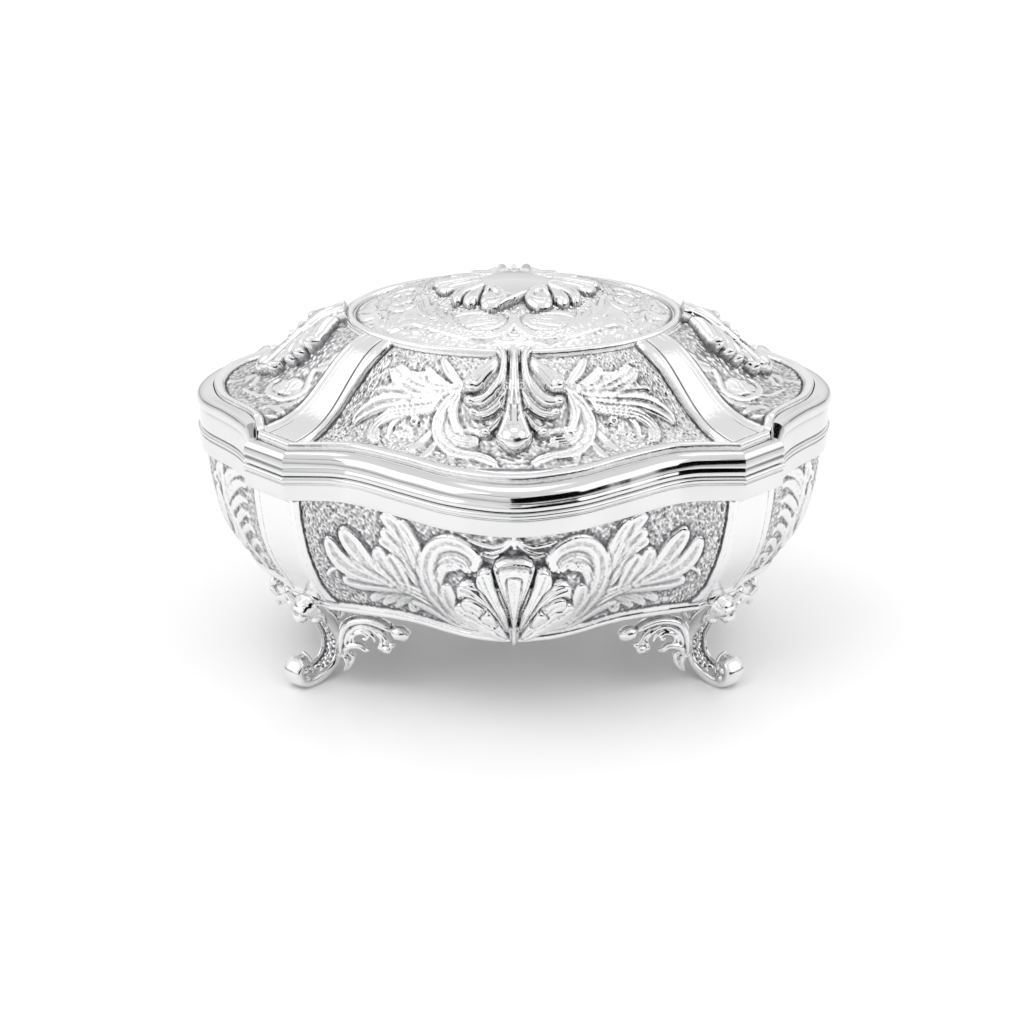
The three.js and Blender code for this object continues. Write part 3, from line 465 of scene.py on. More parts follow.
def medal_front(x, y, to, k):
    R = Relief(x, y, to, k)

    def c(*pts):
        return [(340 + p[0] / 8.711, 285 + p[1] / 8.711) + tuple((v / 8.711 if k_ == 0 else v) for k_, v in enumerate(p[2:])) for p in pts]

    def s(h, prof, *pts):
        R.stroke(c(*pts), h, prof, halo=0.3, n=30)
    # web under the spray
    R.mass(c((560, 330), (700, 310), (850, 330), (1000, 380), (1150, 420), (1300, 430), (1420, 380), (1470, 300), (1400, 240), (1250, 230), (1080, 250), (1000, 260), (900, 260), (800, 160), (700, 60), (640, 60), (640, 160), (560, 220), (500, 300)), 0.28, 1.6)
    # oval field of the scroll, with small leaves in it
    s(0.42, "flute5", (1050, 330, 30), (1130, 300, 46), (1250, 290, 56), (1360, 300, 44), (1420, 320, 26))
    s(0.52, "leaf", (1110, 345, 16), (1200, 330, 24), (1300, 318, 22), (1350, 318, 12))
    s(0.52, "leaf", (1150, 385, 14), (1260, 372, 22), (1370, 345, 20), (1420, 310, 12))
    s(0.50, "round", (1330, 300, 10), (1370, 310, 14), (1340, 330, 12), (1300, 325, 8))
    s(0.50, "leaf", (1010, 270, 12), (1080, 240, 22), (1180, 235, 22), (1280, 240, 14))
    # band of the scroll and its end
    s(0.70, "flute5", (640, 330, 20), (800, 360, 34), (960, 400, 40), (1120, 436, 42), (1280, 448, 42), (1400, 410, 40), (1480, 350, 34), (1500, 280, 28), (1450, 232, 18))
    s(0.62, "round", (1008, 290, 14), (1020, 345, 17), (1090, 395, 18), (1200, 412, 16), (1310, 404, 12))
    # strands that rise to the tall leaf
    s(0.70, "flute", (1040, 390, 14), (900, 345, 22), (790, 290, 28), (715, 215, 30), (690, 140, 26), (640, 70, 22), (590, 70, 14))
    s(0.66, "leaf", (1000, 370, 12), (900, 320, 20), (820, 260, 24), (770, 190, 24), (750, 120, 18), (700, 60, 12))
    s(0.60, "leaf", (980, 350, 12), (930, 300, 18), (890, 250, 20), (860, 215, 14))
    s(0.55, "leaf", (1010, 350, 10), (970, 300, 14), (950, 250, 16), (965, 215, 10))
    s(0.55, "leaf", (830, 240, 12), (820, 190, 20), (850, 150, 18), (890, 140, 12))
    # lobes to the left
    s(0.62, "leaf", (860, 350, 14), (720, 322, 24), (600, 330, 28), (500, 366, 24), (450, 384, 12))
    s(0.60, "leaf", (800, 320, 12), (680, 285, 22), (590, 278, 24), (520, 300, 14))
    s(0.62, "leaf", (690, 140, 14), (630, 180, 24), (550, 208, 28), (470, 208, 22), (430, 190, 12))
    s(0.58, "leaf", (660, 90, 12), (600, 130, 22), (520, 160, 24), (460, 160, 14))
    s(0.58, "leaf", (860, 370, 10), (760, 370, 20), (690, 400, 20), (640, 390, 12))
    # shell at the left end
    s(0.60, "leaf", (340, 280, 18), (290, 262, 32), (220, 268, 34), (165, 250, 20))
    s(0.60, "leaf", (330, 250, 14), (270, 215, 28), (200, 205, 28), (150, 215, 16))
    s(0.55, "leaf", (320, 220, 12), (270, 180, 24), (215, 165, 20))
    s(0.55, "spoon", (335, 300, 14), (340, 262, 24), (330, 232, 14))
    s(0.50, "leaf", (390, 300, 10), (400, 262, 18), (375, 230, 12))
    return R.get()


def drop_half(x, y):
    R = Relief(x, y)

    def c(*pts):
        return [(450 + p[0] / 12.06, 340 + p[1] / 12.06) + tuple((v / 12.06 if k == 0 else v) for k, v in enumerate(p[2:])) for p in pts]

    def groove(depth, *pts):
        R.stroke(c(*pts), depth, "round", halo=0, mode="cut", n=24)
    # the sheet that the lobes grow from
    R.pad(c((575, 245), (455, 345), (330, 440), (235, 540), (205, 620), (230, 700), (240, 790), (270, 870), (300, 935), (400, 945), (500, 920), (600, 850), (640, 900), (600, 1050), (550, 1150), (900, 1150), (1000, 900), (1000, 160), (590, 150)), 2.25, 4.5, 0.1, 0.85)
    R.pad(c((690, 700), (650, 840), (560, 950), (480, 1040), (400, 1015), (375, 1090), (372, 1170), (430, 1222), (480, 1200), (540, 1120), (620, 1040), (720, 900)), 2.7, 5.5, 0.1, 0.85)
    R.pad(c((720, 330), (690, 500), (660, 600), (590, 690), (550, 756), (440, 840), (330, 856), (240, 850), (210, 905), (255, 958), (345, 980), (480, 955), (600, 870), (660, 760), (710, 650), (760, 500)), 2.8, 6.0, 0.1, 0.8)
    R.pad(c((690, 180), (650, 260), (600, 350), (540, 470), (450, 590), (400, 640), (300, 675), (222, 690), (192, 760), (228, 838), (330, 848), (430, 834), (540, 747), (590, 682), (645, 612), (690, 500), (720, 330)), 3.0, 7.0, 0.1, 0.8)
    R.pad(c((575, 235), (540, 240), (420, 312), (290, 390), (180, 505), (140, 600), (160, 650), (220, 664), (300, 674), (380, 647), (437, 602), (490, 530), (570, 430), (615, 330)), 3.2, 8.0, 0.1, 0.8)
    groove(0.22, (560, 330, 6), (470, 420, 11), (350, 540, 12), (240, 600, 7))
    groove(0.6, (415, 560, 7), (404, 600, 18), (350, 645, 15), (280, 664, 10), (215, 655, 6))
    groove(0.20, (640, 420, 6), (560, 580, 11), (440, 700, 12), (270, 750, 8))
    groove(0.4, (592, 655, 5), (560, 722, 9), (500, 784, 9), (430, 835, 8), (340, 850, 5))
    groove(0.20, (690, 600, 6), (600, 780, 11), (460, 890, 12), (290, 910, 7))
    groove(0.7, (700, 690, 5), (672, 780, 14), (610, 880, 22), (540, 950, 20), (470, 985, 12), (360, 992, 6))
    groove(0.6, (560, 950, 6), (520, 1010, 16), (478, 1055, 14))
    groove(0.5, (560, 1090, 6), (520, 1150, 13), (484, 1215, 9))
    for bx, by, br, bh in ((268, 560, 9.0, 4.1), (262, 752, 7.2, 3.7), (296, 892, 6.6, 3.5), (440, 1140, 6.6, 3.5)):
        R.ball(450 + bx / 12.06, 340 + by / 12.06, br, bh)
    # ridge beside the middle
    R.stroke(c((505, 140, 24, .8), (585, 158, 44, .95), (640, 240, 58, 1), (650, 340, 58, 1), (625, 450, 52, .96), (580, 550, 38, .88)), 3.25, "round", halo=0.08, mode="max")
    groove(0.30, (606, 200, 5), (612, 320, 8), (592, 430, 8), (540, 540, 5))
    groove(0.50, (694, 180, 6), (700, 330, 9), (692, 460, 8), (668, 600, 5))
    # middle stem flaring to its bulb
    R.pad(c((773, 150), (715, 165), (706, 260), (698, 420), (690, 600), (668, 760), (645, 880), (606, 1010), (566, 1120), (545, 1200), (600, 1290), (700, 1330), (773, 1338), (846, 1330), (946, 1290), (1001, 1200), (980, 1120), (940, 1010), (901, 880), (878, 760), (856, 600), (848, 420), (840, 260), (831, 165)), 3.25, 7.0, 0.1, 0.75)
    R.ball(450 + 773 / 12.06, 340 + 1195 / 12.06, 15.4, 4.2)
    groove(0.30, (740, 240, 5), (738, 420, 8), (732, 620, 8), (722, 800, 7), (706, 960, 5))
    groove(0.55, (738, 810, 5), (733, 900, 10), (734, 1005, 5))
    groove(0.45, (773, 560, 4), (771, 760, 8), (784, 960, 8))
    groove(0.28, (690, 760, 5), (650, 920, 8), (606, 1060, 8), (580, 1150, 5))
    return R.get()


def shell_half(x, y):
    R = Relief(x, y)

    def c(*pts):
        return [(450 + p[0] / 12.25, 535 + p[1] / 12.25) + tuple((v / 12.25 if k == 0 else v) for k, v in enumerate(p[2:])) for p in pts]

    def groove(depth, *pts):
        R.stroke(c(*pts), depth, "round", halo=0, mode="cut", n=24)
    # ribbon above
    R.stroke(c((270, 60, 12), (380, 150, 22), (560, 190, 26), (650, 150, 24), (705, 105, 16)), 0.9, "round", halo=0.2)
    R.stroke(c((400, 230, 12), (540, 262, 22), (620, 222, 22), (690, 150, 20), (735, 100, 14)), 1.0, "round", halo=0.2)
    R.stroke(c((790, 60, 30), (790, 140, 36), (790, 210, 26)), 1.3, "round", halo=0.3)
    R.pad(c((560, 620), (450, 640), (330, 760), (300, 880), (420, 1010), (520, 1120), (640, 1220), (790, 1275), (940, 1220), (900, 640)), 1.9, 5.0)
    # lobes from the outside in
    R.pad(c((55, 860), (120, 815), (200, 835), (300, 890), (420, 975), (540, 1075), (690, 1180), (790, 1240), (640, 1250), (510, 1210), (330, 1128), (200, 1040), (90, 960)), 1.5, 2.6)
    groove(0.28, (110, 880, 8), (260, 960, 12), (420, 1070, 11), (620, 1200, 6))
    groove(0.5, (190, 940, 6), (225, 960, 18), (262, 985, 8))
    R.pad(c((150, 800), (200, 738), (300, 755), (400, 815), (475, 868), (560, 970), (680, 1120), (750, 1240), (620, 1190), (500, 1085), (400, 1000), (300, 910), (200, 880)), 1.9, 3.0, 0.5)
    groove(0.32, (210, 800, 8), (330, 860, 13), (460, 980, 12), (640, 1150, 6))
    groove(1.1, (400, 868, 10), (480, 888, 26), (560, 950, 20), (600, 1010, 8))
    R.pad(c((380, 960), (430, 905), (500, 905), (560, 965), (600, 1060), (560, 1075), (480, 1045), (400, 1010)), 2.3, 3.4, 0.5)
    R.pad(c((100, 650), (108, 572), (150, 535), (220, 523), (290, 540), (350, 600), (450, 700), (560, 830), (650, 960), (720, 1110), (740, 1220), (640, 1070), (570, 965), (470, 850), (330, 752), (200, 716), (120, 738)), 2.5, 4.2, 0.6)
    groove(0.36, (170, 610, 10), (300, 660, 14), (450, 790, 13), (610, 990, 7))
    groove(0.30, (200, 570, 7), (310, 610, 11), (440, 720, 11), (600, 920, 6))
    R.pad(c((328, 525), (348, 425), (430, 368), (510, 380), (548, 450), (575, 600), (625, 760), (690, 900), (740, 1080), (748, 1200), (660, 1040), (560, 870), (430, 680), (350, 600)), 2.8, 4.4, 0.6)
    groove(0.40, (430, 450, 10), (480, 600, 15), (560, 770, 14), (680, 1010, 7))
    groove(0.32, (500, 440, 7), (530, 590, 11), (600, 770, 11), (690, 960, 6))
    groove(0.30, (380, 500, 7), (430, 620, 11), (520, 770, 11), (620, 930, 6))
    # middle lobe with a rim round an inner tongue
    R.pad(c((530, 360), (558, 290), (618, 255), (690, 236), (790, 225), (890, 236), (962, 255), (1022, 290), (1050, 360), (1020, 480), (980, 600), (930, 720), (870, 900), (835, 1100), (815, 1235), (765, 1235), (745, 1100), (710, 900), (650, 720), (600, 600), (560, 480)), 3.3, 7.0, 0.7)
    R.stroke(c((600, 400, 10), (625, 352, 22), (690, 338, 28), (790, 326, 30), (890, 338, 28), (955, 352, 22), (980, 400, 10)), 0.9, "round", halo=0, mode="cut", n=40)
    groove(0.62, (790, 446, 11), (730, 450, 12), (700, 475, 12), (700, 540, 13), (708, 620, 14), (735, 800, 13), (762, 960, 7))
    groove(0.45, (612, 420, 8), (640, 560, 13), (690, 740, 12), (742, 960, 6))
    groove(0.35, (790, 520, 7), (790, 700, 13), (790, 880, 8))
    R.stroke(c((790, 960, 40, .8), (790, 1100, 62, 1), (790, 1200, 70, 1), (790, 1232, 60, .9)), 2.9, "round", halo=0.4)
    groove(0.5, (752, 1010, 5), (748, 1130, 10), (744, 1250, 5))
    return R.get()


# ------------------------------------------------------------------ meshes
def make_mesh(name, V, faces, sharp=40, attrs=None, recalc=True):
    V = np.asarray(V, float)
    faces = [np.asarray(f, int) for f in (faces if isinstance(faces, list) else [faces]) if len(f)]
    me = bpy.data.meshes.new(name)
    me.vertices.add(len(V))
    me.vertices.foreach_set("co", (V * MM).astype(np.float32).ravel())
    me.loops.add(sum(f.size for f in faces))
    me.loops.foreach_set("vertex_index", np.concatenate([f.ravel() for f in faces]).astype(np.int32))
    sizes = np.concatenate([np.full(len(f), f.shape[1]) for f in faces])
    me.polygons.add(len(sizes))
    me.polygons.foreach_set("loop_start", np.r_[0, np.cumsum(sizes)[:-1]].astype(np.int32))
    me.update(calc_edges=True)
    me.validate()
    if recalc:
        bm = bmesh.new()
        bm.from_mesh(me)
        bmesh.ops.recalc_face_normals(bm, faces=bm.faces)
        bm.to_mesh(me)
        bm.free()
    for key, values in (attrs or {}).items():
        a = me.attributes.new(key, "FLOAT", "POINT")
        a.data.foreach_set("value", np.asarray(values, np.float32).ravel())
    me.polygons.foreach_set("use_smooth", np.ones(len(me.polygons), bool))
    if sharp:
        me.set_sharp_from_angle(angle=math.radians(sharp))
    me.update()
    return me


def add(name, me, body, material, replaces=(), matrix=None):
    ob = bpy.data.objects.new(name, me)
    bpy.context.scene.collection.objects.link(ob)
    if matrix is not None:
        ob.matrix_world = matrix
    if not me.materials:
        me.materials.append(material)
    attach(ob, body)
    if replaces:
        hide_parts(*replaces)
    return ob


def grid_faces(m, n, wrap=False, off=0):
    """Quads of an m x n grid of points."""
    j, i = np.meshgrid(np.arange(m - 1), np.arange(n if wrap else n - 1), indexing="ij")
    i2 = (i + 1) % n
    return np.stack([off + j * n + i, off + (j + 1) * n + i, off + (j + 1) * n + i2, off + j * n + i2], -1).reshape(-1, 4)


def normals(P):
    """Outward normals of a grid whose rows run down and whose columns run counter-clockwise round the object."""
    dj = np.gradient(P, axis=0)
    di = np.gradient(P, axis=1)
    n = np.cross(dj, di)
    return n / (np.linalg.norm(n, axis=-1, keepdims=True) + 1e-12)


def zip_strip(A, B):
    out, i, j = [], 0, 0
    while i < len(A) - 1 or j < len(B) - 1:
        if j == len(B) - 1 or (i < len(A) - 1 and (i + 1) / (len(A) - 1) <= (j + 1) / (len(B) - 1)):
            out.append((A[i], A[i + 1], B[j]))
            i += 1
        else:
            out.append((A[i], B[j + 1], B[j]))
            j += 1
    return np.array(out)


def slab(P, back, wrap=False):
    """A closed sheet: outer grid P, inner rows `back` with the same columns."""
    m, n = P.shape[:2]
    k = back.shape[0]
    V = np.concatenate([P.reshape(-1, 3), back.reshape(-1, 3)])
    off = m * n
    faces = [grid_faces(m, n, wrap), grid_faces(k, n, wrap, off)]
    i = np.arange(n if wrap else n - 1)
    i2 = (i + 1) % n
    faces.append(np.stack([i, i2, off + i2, off + i], -1))
    lo, lb = (m - 1) * n, off + (k - 1) * n
    faces.append(np.stack([lo + i, lo + i2, lb + i2, lb + i], -1))
    if not wrap:
        for c in (0, n - 1):
            faces.append(zip_strip(list(np.arange(m) * n + c), list(off + np.arange(k) * n + c)))
    return V, faces


def blur(h, r):
    """Box blur, twice, over a grid."""
    for _ in range(2):
        for ax in (0, 1):
            p = np.pad(h, [(r, r) if a == ax else (0, 0) for a in (0, 1)], mode="edge")
            c = np.cumsum(p, axis=ax)
            c = np.insert(c, 0, 0, axis=ax)
            n = 2 * r + 1
            h = (np.take(c, np.arange(n, c.shape[ax]), axis=ax) - np.take(c, np.arange(0, c.shape[ax] - n), axis=ax)) / n
    return h


def stipple(shape, amp):
    g = rng.standard_normal(shape)
    g = 0.5 * (g + np.roll(g, 1, 0) + np.roll(g, 1, 1) + np.roll(np.roll(g, 1, 0), 1, 1))
    return g * amp * 1.25


def tone_of(h, r=3, gain=3.0):
    """How deep a point lies against what is round it: 0 on the heights, 1 in the hollows. It darkens the hollows in the
    base colour, as patina with painted shade.
    """
    return np.clip(0.5 + (blur(h, r) - h) * gain, 0, 1)


# ------------------------------------------------------------------ finishes
def material(name):
    m = bpy.data.materials.new(name)
    m.use_nodes = True
    nt = m.node_tree
    nt.nodes.clear()
    out = nt.nodes.new("ShaderNodeOutputMaterial")
    bsdf = nt.nodes.new("ShaderNodeBsdfPrincipled")
    nt.links.new(bsdf.outputs[0], out.inputs[0])
    return m, nt, bsdf


def node(nt, kind, inputs=None, **props):
    n = nt.nodes.new(kind)
    for k, v in props.items():
        setattr(n, k, v)
    for k, v in (inputs or {}).items():
        if isinstance(v, bpy.types.NodeSocket):
            nt.links.new(v, n.inputs[k])
        else:
            n.inputs[k].default_value = v
    return n


def ramp(nt, fac, stops):
    r = nt.nodes.new("ShaderNodeValToRGB")
    el = r.color_ramp.elements
    el[0].position, el[0].color = stops[0][0], (*stops[0][1], 1)
    el[1].position, el[1].color = stops[-1][0], (*stops[-1][1], 1)
    for p, c in stops[1:-1]:
        e = el.new(p)
        e.color = (*c, 1)
    nt.links.new(fac, r.inputs[0])
    return r.outputs[0]


def silver(name, rough=0.13, grain=0.0, patina_and_shade=False, bright=(0.84, 0.84, 0.845), dark=(0.16, 0.16, 0.17)):
    m, nt, b = material(name)
    b.inputs["Metallic"].default_value = 1.0
    co = node(nt, "ShaderNodeTexCoord").outputs["Object"]
    haze = node(nt, "ShaderNodeTexNoise", {"Vector": co, "Scale": 55.0, "Detail": 4.0, "Roughness": 0.6}).outputs[0]
    fine = node(nt, "ShaderNodeTexNoise", {"Vector": co, "Scale": 900.0, "Detail": 3.0, "Roughness": 0.6}).outputs[0]
    # painted shade: the base colour runs from bright to dark along the tone attribute, which darkens the hollows
    # (patina with painted shade) and carries painted shadow lines
    if patina_and_shade:
        t = node(nt, "ShaderNodeAttribute", attribute_name="patina_and_shade").outputs["Fac"]
        k = node(nt, "ShaderNodeMath", {0: fine, 1: -0.5}, operation="ADD").outputs[0]
        t2 = node(nt, "ShaderNodeMath", {0: k, 1: 0.55, 2: t}, operation="MULTIPLY_ADD").outputs[0]
        col = ramp(nt, t2, [(0.0, bright), (0.42, bright), (0.62, tuple(0.5 * (a + c) for a, c in zip(bright, dark))), (1.0, dark)])
        r = node(nt, "ShaderNodeMapRange", {"Value": t2, "From Min": 0.3, "From Max": 0.9, "To Min": rough, "To Max": 0.5}).outputs[0]
    else:
        col = ramp(nt, haze, [(0.3, tuple(v * 0.955 for v in bright)), (0.62, bright)])
        r = node(nt, "ShaderNodeMapRange", {"Value": haze, "From Min": 0.25, "From Max": 0.75, "To Min": rough * 0.75, "To Max": rough * 1.35}).outputs[0]
    nt.links.new(col, b.inputs["Base Color"])
    nt.links.new(r, b.inputs["Roughness"])
    swirl = node(nt, "ShaderNodeTexNoise", {"Vector": co, "Scale": 180.0, "Detail": 2.0}).outputs[0]
    height = swirl if not grain else fine
    bump = node(nt, "ShaderNodeBump", {"Height": height, "Strength": 0.05 if not grain else grain, "Distance": 0.0004 if not grain else 0.0003})
    nt.links.new(bump.outputs[0], b.inputs["Normal"])
    return m


POLISHED = silver("polished_silver", 0.09, bright=(0.765, 0.765, 0.77))
# the chased and ornament silver turn to their dark colour where the tone attribute is high: patina with painted shade
# in the hollows, plus painted shadow lines
CHASED = silver("chased_silver", 0.17, grain=0.25, patina_and_shade=True)
ORNAMENT = silver("ornament_silver", 0.10, patina_and_shade=True, dark=(0.10, 0.10, 0.11))

m, nt, b = material("steel")
b.inputs["Metallic"].default_value = 1.0
co = node(nt, "ShaderNodeTexCoord").outputs["Object"]
n1 = node(nt, "ShaderNodeTexNoise", {"Vector": co, "Scale": 400.0, "Detail": 4.0}).outputs[0]
nt.links.new(ramp(nt, n1, [(0.3, (0.50, 0.51, 0.53)), (0.7, (0.66, 0.67, 0.69))]), b.inputs["Base Color"])
nt.links.new(node(nt, "ShaderNodeMapRange", {"Value": n1, "From Min": 0.3, "From Max": 0.7, "To Min": 0.22, "To Max": 0.4}).outputs[0], b.inputs["Roughness"])
nt.links.new(node(nt, "ShaderNodeBump", {"Height": n1, "Strength": 0.15, "Distance": 0.0002}).outputs[0], b.inputs["Normal"])
STEEL = m

m, nt, b = material("velvet")
co = node(nt, "ShaderNodeTexCoord").outputs["Object"]
n1 = node(nt, "ShaderNodeTexNoise", {"Vector": co, "Scale": 60.0, "Detail": 5.0, "Roughness": 0.65}).outputs[0]
n2 = node(nt, "ShaderNodeTexNoise", {"Vector": co, "Scale": 2600.0, "Detail": 2.0}).outputs[0]
mixed = node(nt, "ShaderNodeMath", {0: n2, 1: 0.5, 2: n1}, operation="MULTIPLY_ADD").outputs[0]
nt.links.new(ramp(nt, mixed, [(0.45, (0.006, 0.009, 0.032)), (0.75, (0.014, 0.020, 0.062)), (1.0, (0.03, 0.04, 0.11))]), b.inputs["Base Color"])
b.inputs["Roughness"].default_value = 0.92
b.inputs["Sheen Weight"].default_value = 0.55
b.inputs["Sheen Roughness"].default_value = 0.35
b.inputs["Sheen Tint"].default_value = (0.35, 0.42, 0.75, 1)
nt.links.new(node(nt, "ShaderNodeBump", {"Height": n2, "Strength": 0.5, "Distance": 0.0005}).outputs[0], b.inputs["Normal"])
VELVET = m

HALF_TURN = Matrix.Rotation(math.pi, 4, "Z")

# ------------------------------------------------------------------ body wall
rw = cubic([-43.5, -41.4, -37.2, -32.8, -28.5, -22.5, -14.5, -7.4], [17.0, 14.6, 11.9, 9.2, 7.0, 5.1, 3.7, 3.0])


def body_rows(step):
    """The wall's rows from under the band to the foot of the beaded edge, as (r, dz), with 1 where the wall is chased."""
    rows = [(2.0, -6.3, 0), (2.6, -6.7, 0)]
    for z in np.arange(-7.0, -40.75, -step):
        rows.append((float(rw(z)), z, 1))
    zc = -42.2
    c = np.array([float(rw(zc)) + 0.30, zc])
    t_up, n_out = np.array([-0.69, 0.72]), np.array([-0.72, -0.69])
    rows.append((float(rw(-40.9)) + 0.25, -40.95, 0))
    for a in np.radians(np.linspace(78, -80, 11)):
        p = c + 1.32 * (math.cos(a) * n_out + math.sin(a) * t_up)
        rows.append((p[0], p[1], 0))
    rows.append((18.4, -43.5, 0))
    rows.append((20.2, -43.5, 0))
    return np.array(rows)


ROWS = body_rows(0.36)
K_BACK = [(20.2, -42.4), (17.2, -42.0), (13.0, -36.9), (8.6, -28.8), (5.8, -20.0), (4.7, -9.5), (3.2, -5.9)]


def arc_from(P, axis=0):
    """Length along a grid's rows from its first row."""
    d = np.linalg.norm(np.diff(P, axis=axis), axis=-1)
    pad = [(0, 0)] * 2
    pad[axis] = (1, 0)
    return np.cumsum(np.pad(d, pad), axis=axis)


def front_image(P):
    """Pixels of the mirror image of each point in the front left quarter."""
    Q = P.copy()
    Q[..., 0] = -np.abs(Q[..., 0])
    Q[..., 1] = -np.abs(Q[..., 1])
    return project(Q)


cols = spread(n_front=380, which="front")
P = loft(cols, SEAM, FOOT, ROWS[:, 0], R_BODY, ROWS[:, 1])
px, py = front_image(P)
dz = P[..., 2] - SEAM_Z
sd = polygon_sd(px, py, BODY_EDGE + [(362, 700), (700, 700), (700, 400), (298.2, 400)]) * 0.272
D = np.minimum(sd, np.minimum(-6.6 - dz, (dz + 40.85)))
wall = ROWS[:, 2][:, None] * np.ones(P.shape[:2])
inside = smoothstep(D, 0.0, 0.45) * wall
rel = body_front(px, py) * smoothstep(D, -0.1, 0.9)
ground = -0.5 * inside - 0.22 * np.exp(-((D - 0.42) / 0.28) ** 2) * wall
lip = 0.22 * np.exp(-((D + 0.75) / 0.5) ** 2) * wall * (dz > -39.5) * (dz < -7.6)
free = inside * np.clip(1 - rel / 0.12, 0, 1)
h = ground + lip + rel * 1.0 + stipple(P.shape[:2], 0.085) * free
# painted shade: the hollows are darkened (patina with painted shade), with a painted shadow line along the groove
# inside the panel frame, a dark line above the beaded foot edge, a painted shadow under the step at the pilaster's top
# and a painted dark line along the pilaster's edge; the stippled ground is a little darker
patina_and_shade = tone_of(h, 3, 1.6)
patina_and_shade = np.clip(patina_and_shade * np.where(D > 0, 1, 0.4) + 0.30 * np.exp(-((D - 0.35) / 0.3) ** 2) + 0.1 * free + 0.75 * np.exp(-((dz + 40.35) / 0.42) ** 2) * (np.abs(P[..., 0]) > 6.5) * (D > -0.6)
               + (D < 0) * (0.9 * np.exp(-((dz + 7.85) / 0.2) ** 2) + 0.34 * np.exp(-((D + 1.15) / 0.14) ** 2) * (dz < -7.5)), 0, 1) * np.maximum(wall, 0.2)
P1 = P + normals(P) * h[..., None]
back = loft(cols, SEAM, FOOT, [k for k, _ in K_BACK[::-1]], R_BODY, [z for _, z in K_BACK[::-1]])
V, F = slab(P1, back)
me = make_mesh("body_front", V, F, attrs={"patina_and_shade": np.r_[patina_and_shade.ravel(), np.zeros(back.shape[0] * back.shape[1])]})
add("body_wall_front", me, "box", CHASED, ["body_shell"])
add("body_wall_back", me, "box", CHASED, ["body_shell"], HALF_TURN)


# ---- ends: own layout, y along the end and z up
def body_end(y, z, to):
    """Leaves on the body's end: y from the front corner (negative) to the middle, z up."""
    R = Relief(y, z, to, 0.30)

    def c(*pts):
        return [(190 + p[0] / 8.25, 430 + p[1] / 8.25) + tuple((v / 8.25 if k == 0 else v) for k, v in enumerate(p[2:])) for p in pts]

    def s(h, prof, *pts):
        R.stroke(c(*pts), h, prof, n=26)
    # lobes to the side of the corner
    s(0.75, "leaf", (278, 560, 18), (286, 440, 34), (330, 360, 40), (400, 340, 34), (425, 365, 20))
    s(0.70, "leaf", (300, 620, 16), (322, 520, 30), (370, 450, 36), (425, 440, 28), (436, 470, 16))
    s(0.75, "leaf", (335, 690, 16), (362, 610, 30), (410, 565, 34), (450, 590, 22))
    s(0.70, "leaf", (385, 790, 14), (405, 715, 28), (445, 680, 30), (480, 715, 18))
    s(0.70, "leaf", (440, 880, 14), (450, 820, 26), (490, 805, 26), (515, 850, 16))
    s(0.65, "leaf", (515, 990, 12), (520, 930, 24), (555, 925, 24), (585, 985, 14))
    s(0.60, "leaf", (590, 1090, 12), (590, 1040, 20), (625, 1050, 20), (650, 1110, 12))
    # lobes to the middle
    s(0.70, "leaf", (266, 470, 16), (240, 400, 30), (222, 330, 34), (232, 270, 26))
    s(0.60, "round", (225, 420, 12), (200, 400, 20), (196, 370, 22), (212, 352, 18), (226, 372, 12))
    s(0.65, "leaf", (300, 620, 14), (262, 560, 26), (232, 490, 28), (222, 440, 18))
    s(0.65, "leaf", (350, 740, 14), (310, 680, 26), (280, 610, 28), (262, 560, 16))
    s(0.60, "leaf", (420, 870, 14), (370, 800, 26), (330, 730, 26), (310, 690, 16))
    s(0.60, "leaf", (520, 1010, 12), (460, 940, 24), (410, 870, 24), (380, 830, 14))
    # stem
    s(0.85, "flute", (244, 262, 12), (262, 400, 18), (284, 520, 22), (320, 640, 22), (372, 750, 22), (430, 860, 20), (510, 985, 20), (600, 1100, 20), (680, 1180, 16))
    return R.get()


def full_end(P, cols):
    d = P[..., 2] - SEAM_Z
    P[..., 0] += cols.sx[None] * 1.25 * smoothstep(-d, 6.3, 8.5) * (1 - 0.7 * smoothstep(-d, 41.0, 43.5)) * np.where(cols.seg == 4, smoothstep(cols.u, 0.0, 0.35), 0.0)[None]
    return P


cols = spread(n_corner=36, n_end=70, which="right")
P = full_end(loft(cols, SEAM, FOOT, ROWS[:, 0], R_BODY, ROWS[:, 1]), cols)
dz = P[..., 2] - SEAM_Z
wall = ROWS[:, 2][:, None] * np.ones(P.shape[:2])
endu = np.where(cols.seg == 4, 1, 0)[None]
half = np.where(cols.sy < 0, -1, 1)
# millimetres from the corner of the end panel, at each height
along = arc_from(P, 1)
i0, i1 = np.nonzero(cols.seg == 4)[0][[0, -1]]
edge = np.minimum(along - along[:, i0:i0 + 1], along[:, i1:i1 + 1] - along)
D = np.minimum(np.minimum(edge - 2.1, -6.6 - dz), dz + 40.85)
D = np.where(endu > 0, D, -5)
inside = smoothstep(D, 0, 0.45) * wall
px, py = front_image(P)
rel = body_end(-np.abs(P[..., 1]), P[..., 2], by_sight(np.where(cols.sy[None] < 0, px, 1e6), py, -np.abs(P[..., 1]), P[..., 2])) * smoothstep(D, -0.1, 0.9) * 0.62
# palmette in the middle of the end
E = Relief(np.abs(P[..., 1]).copy(), P[..., 2].copy())
E.stroke([(0.6, 29.0, 1.0), (5.2, 31.8, 1.8), (9.6, 36.0, 2.0), (11.4, 41.0, 1.2)], 0.60, "leaf")
E.stroke([(0.6, 29.5, 1.0), (3.6, 35.5, 1.9), (6.6, 42.5, 2.3), (7.4, 48.5, 1.3)], 0.65, "leaf")
E.stroke([(0.0, 28.5, 1.3), (0.0, 37.0, 2.3), (0.0, 46.0, 3.0), (0.0, 52.5, 1.6)], 0.75, "leaf")
E.ball(0.0, 55.0, 1.5, 0.8)
rel = np.maximum(rel, E.get() * smoothstep(D, -0.1, 0.9))
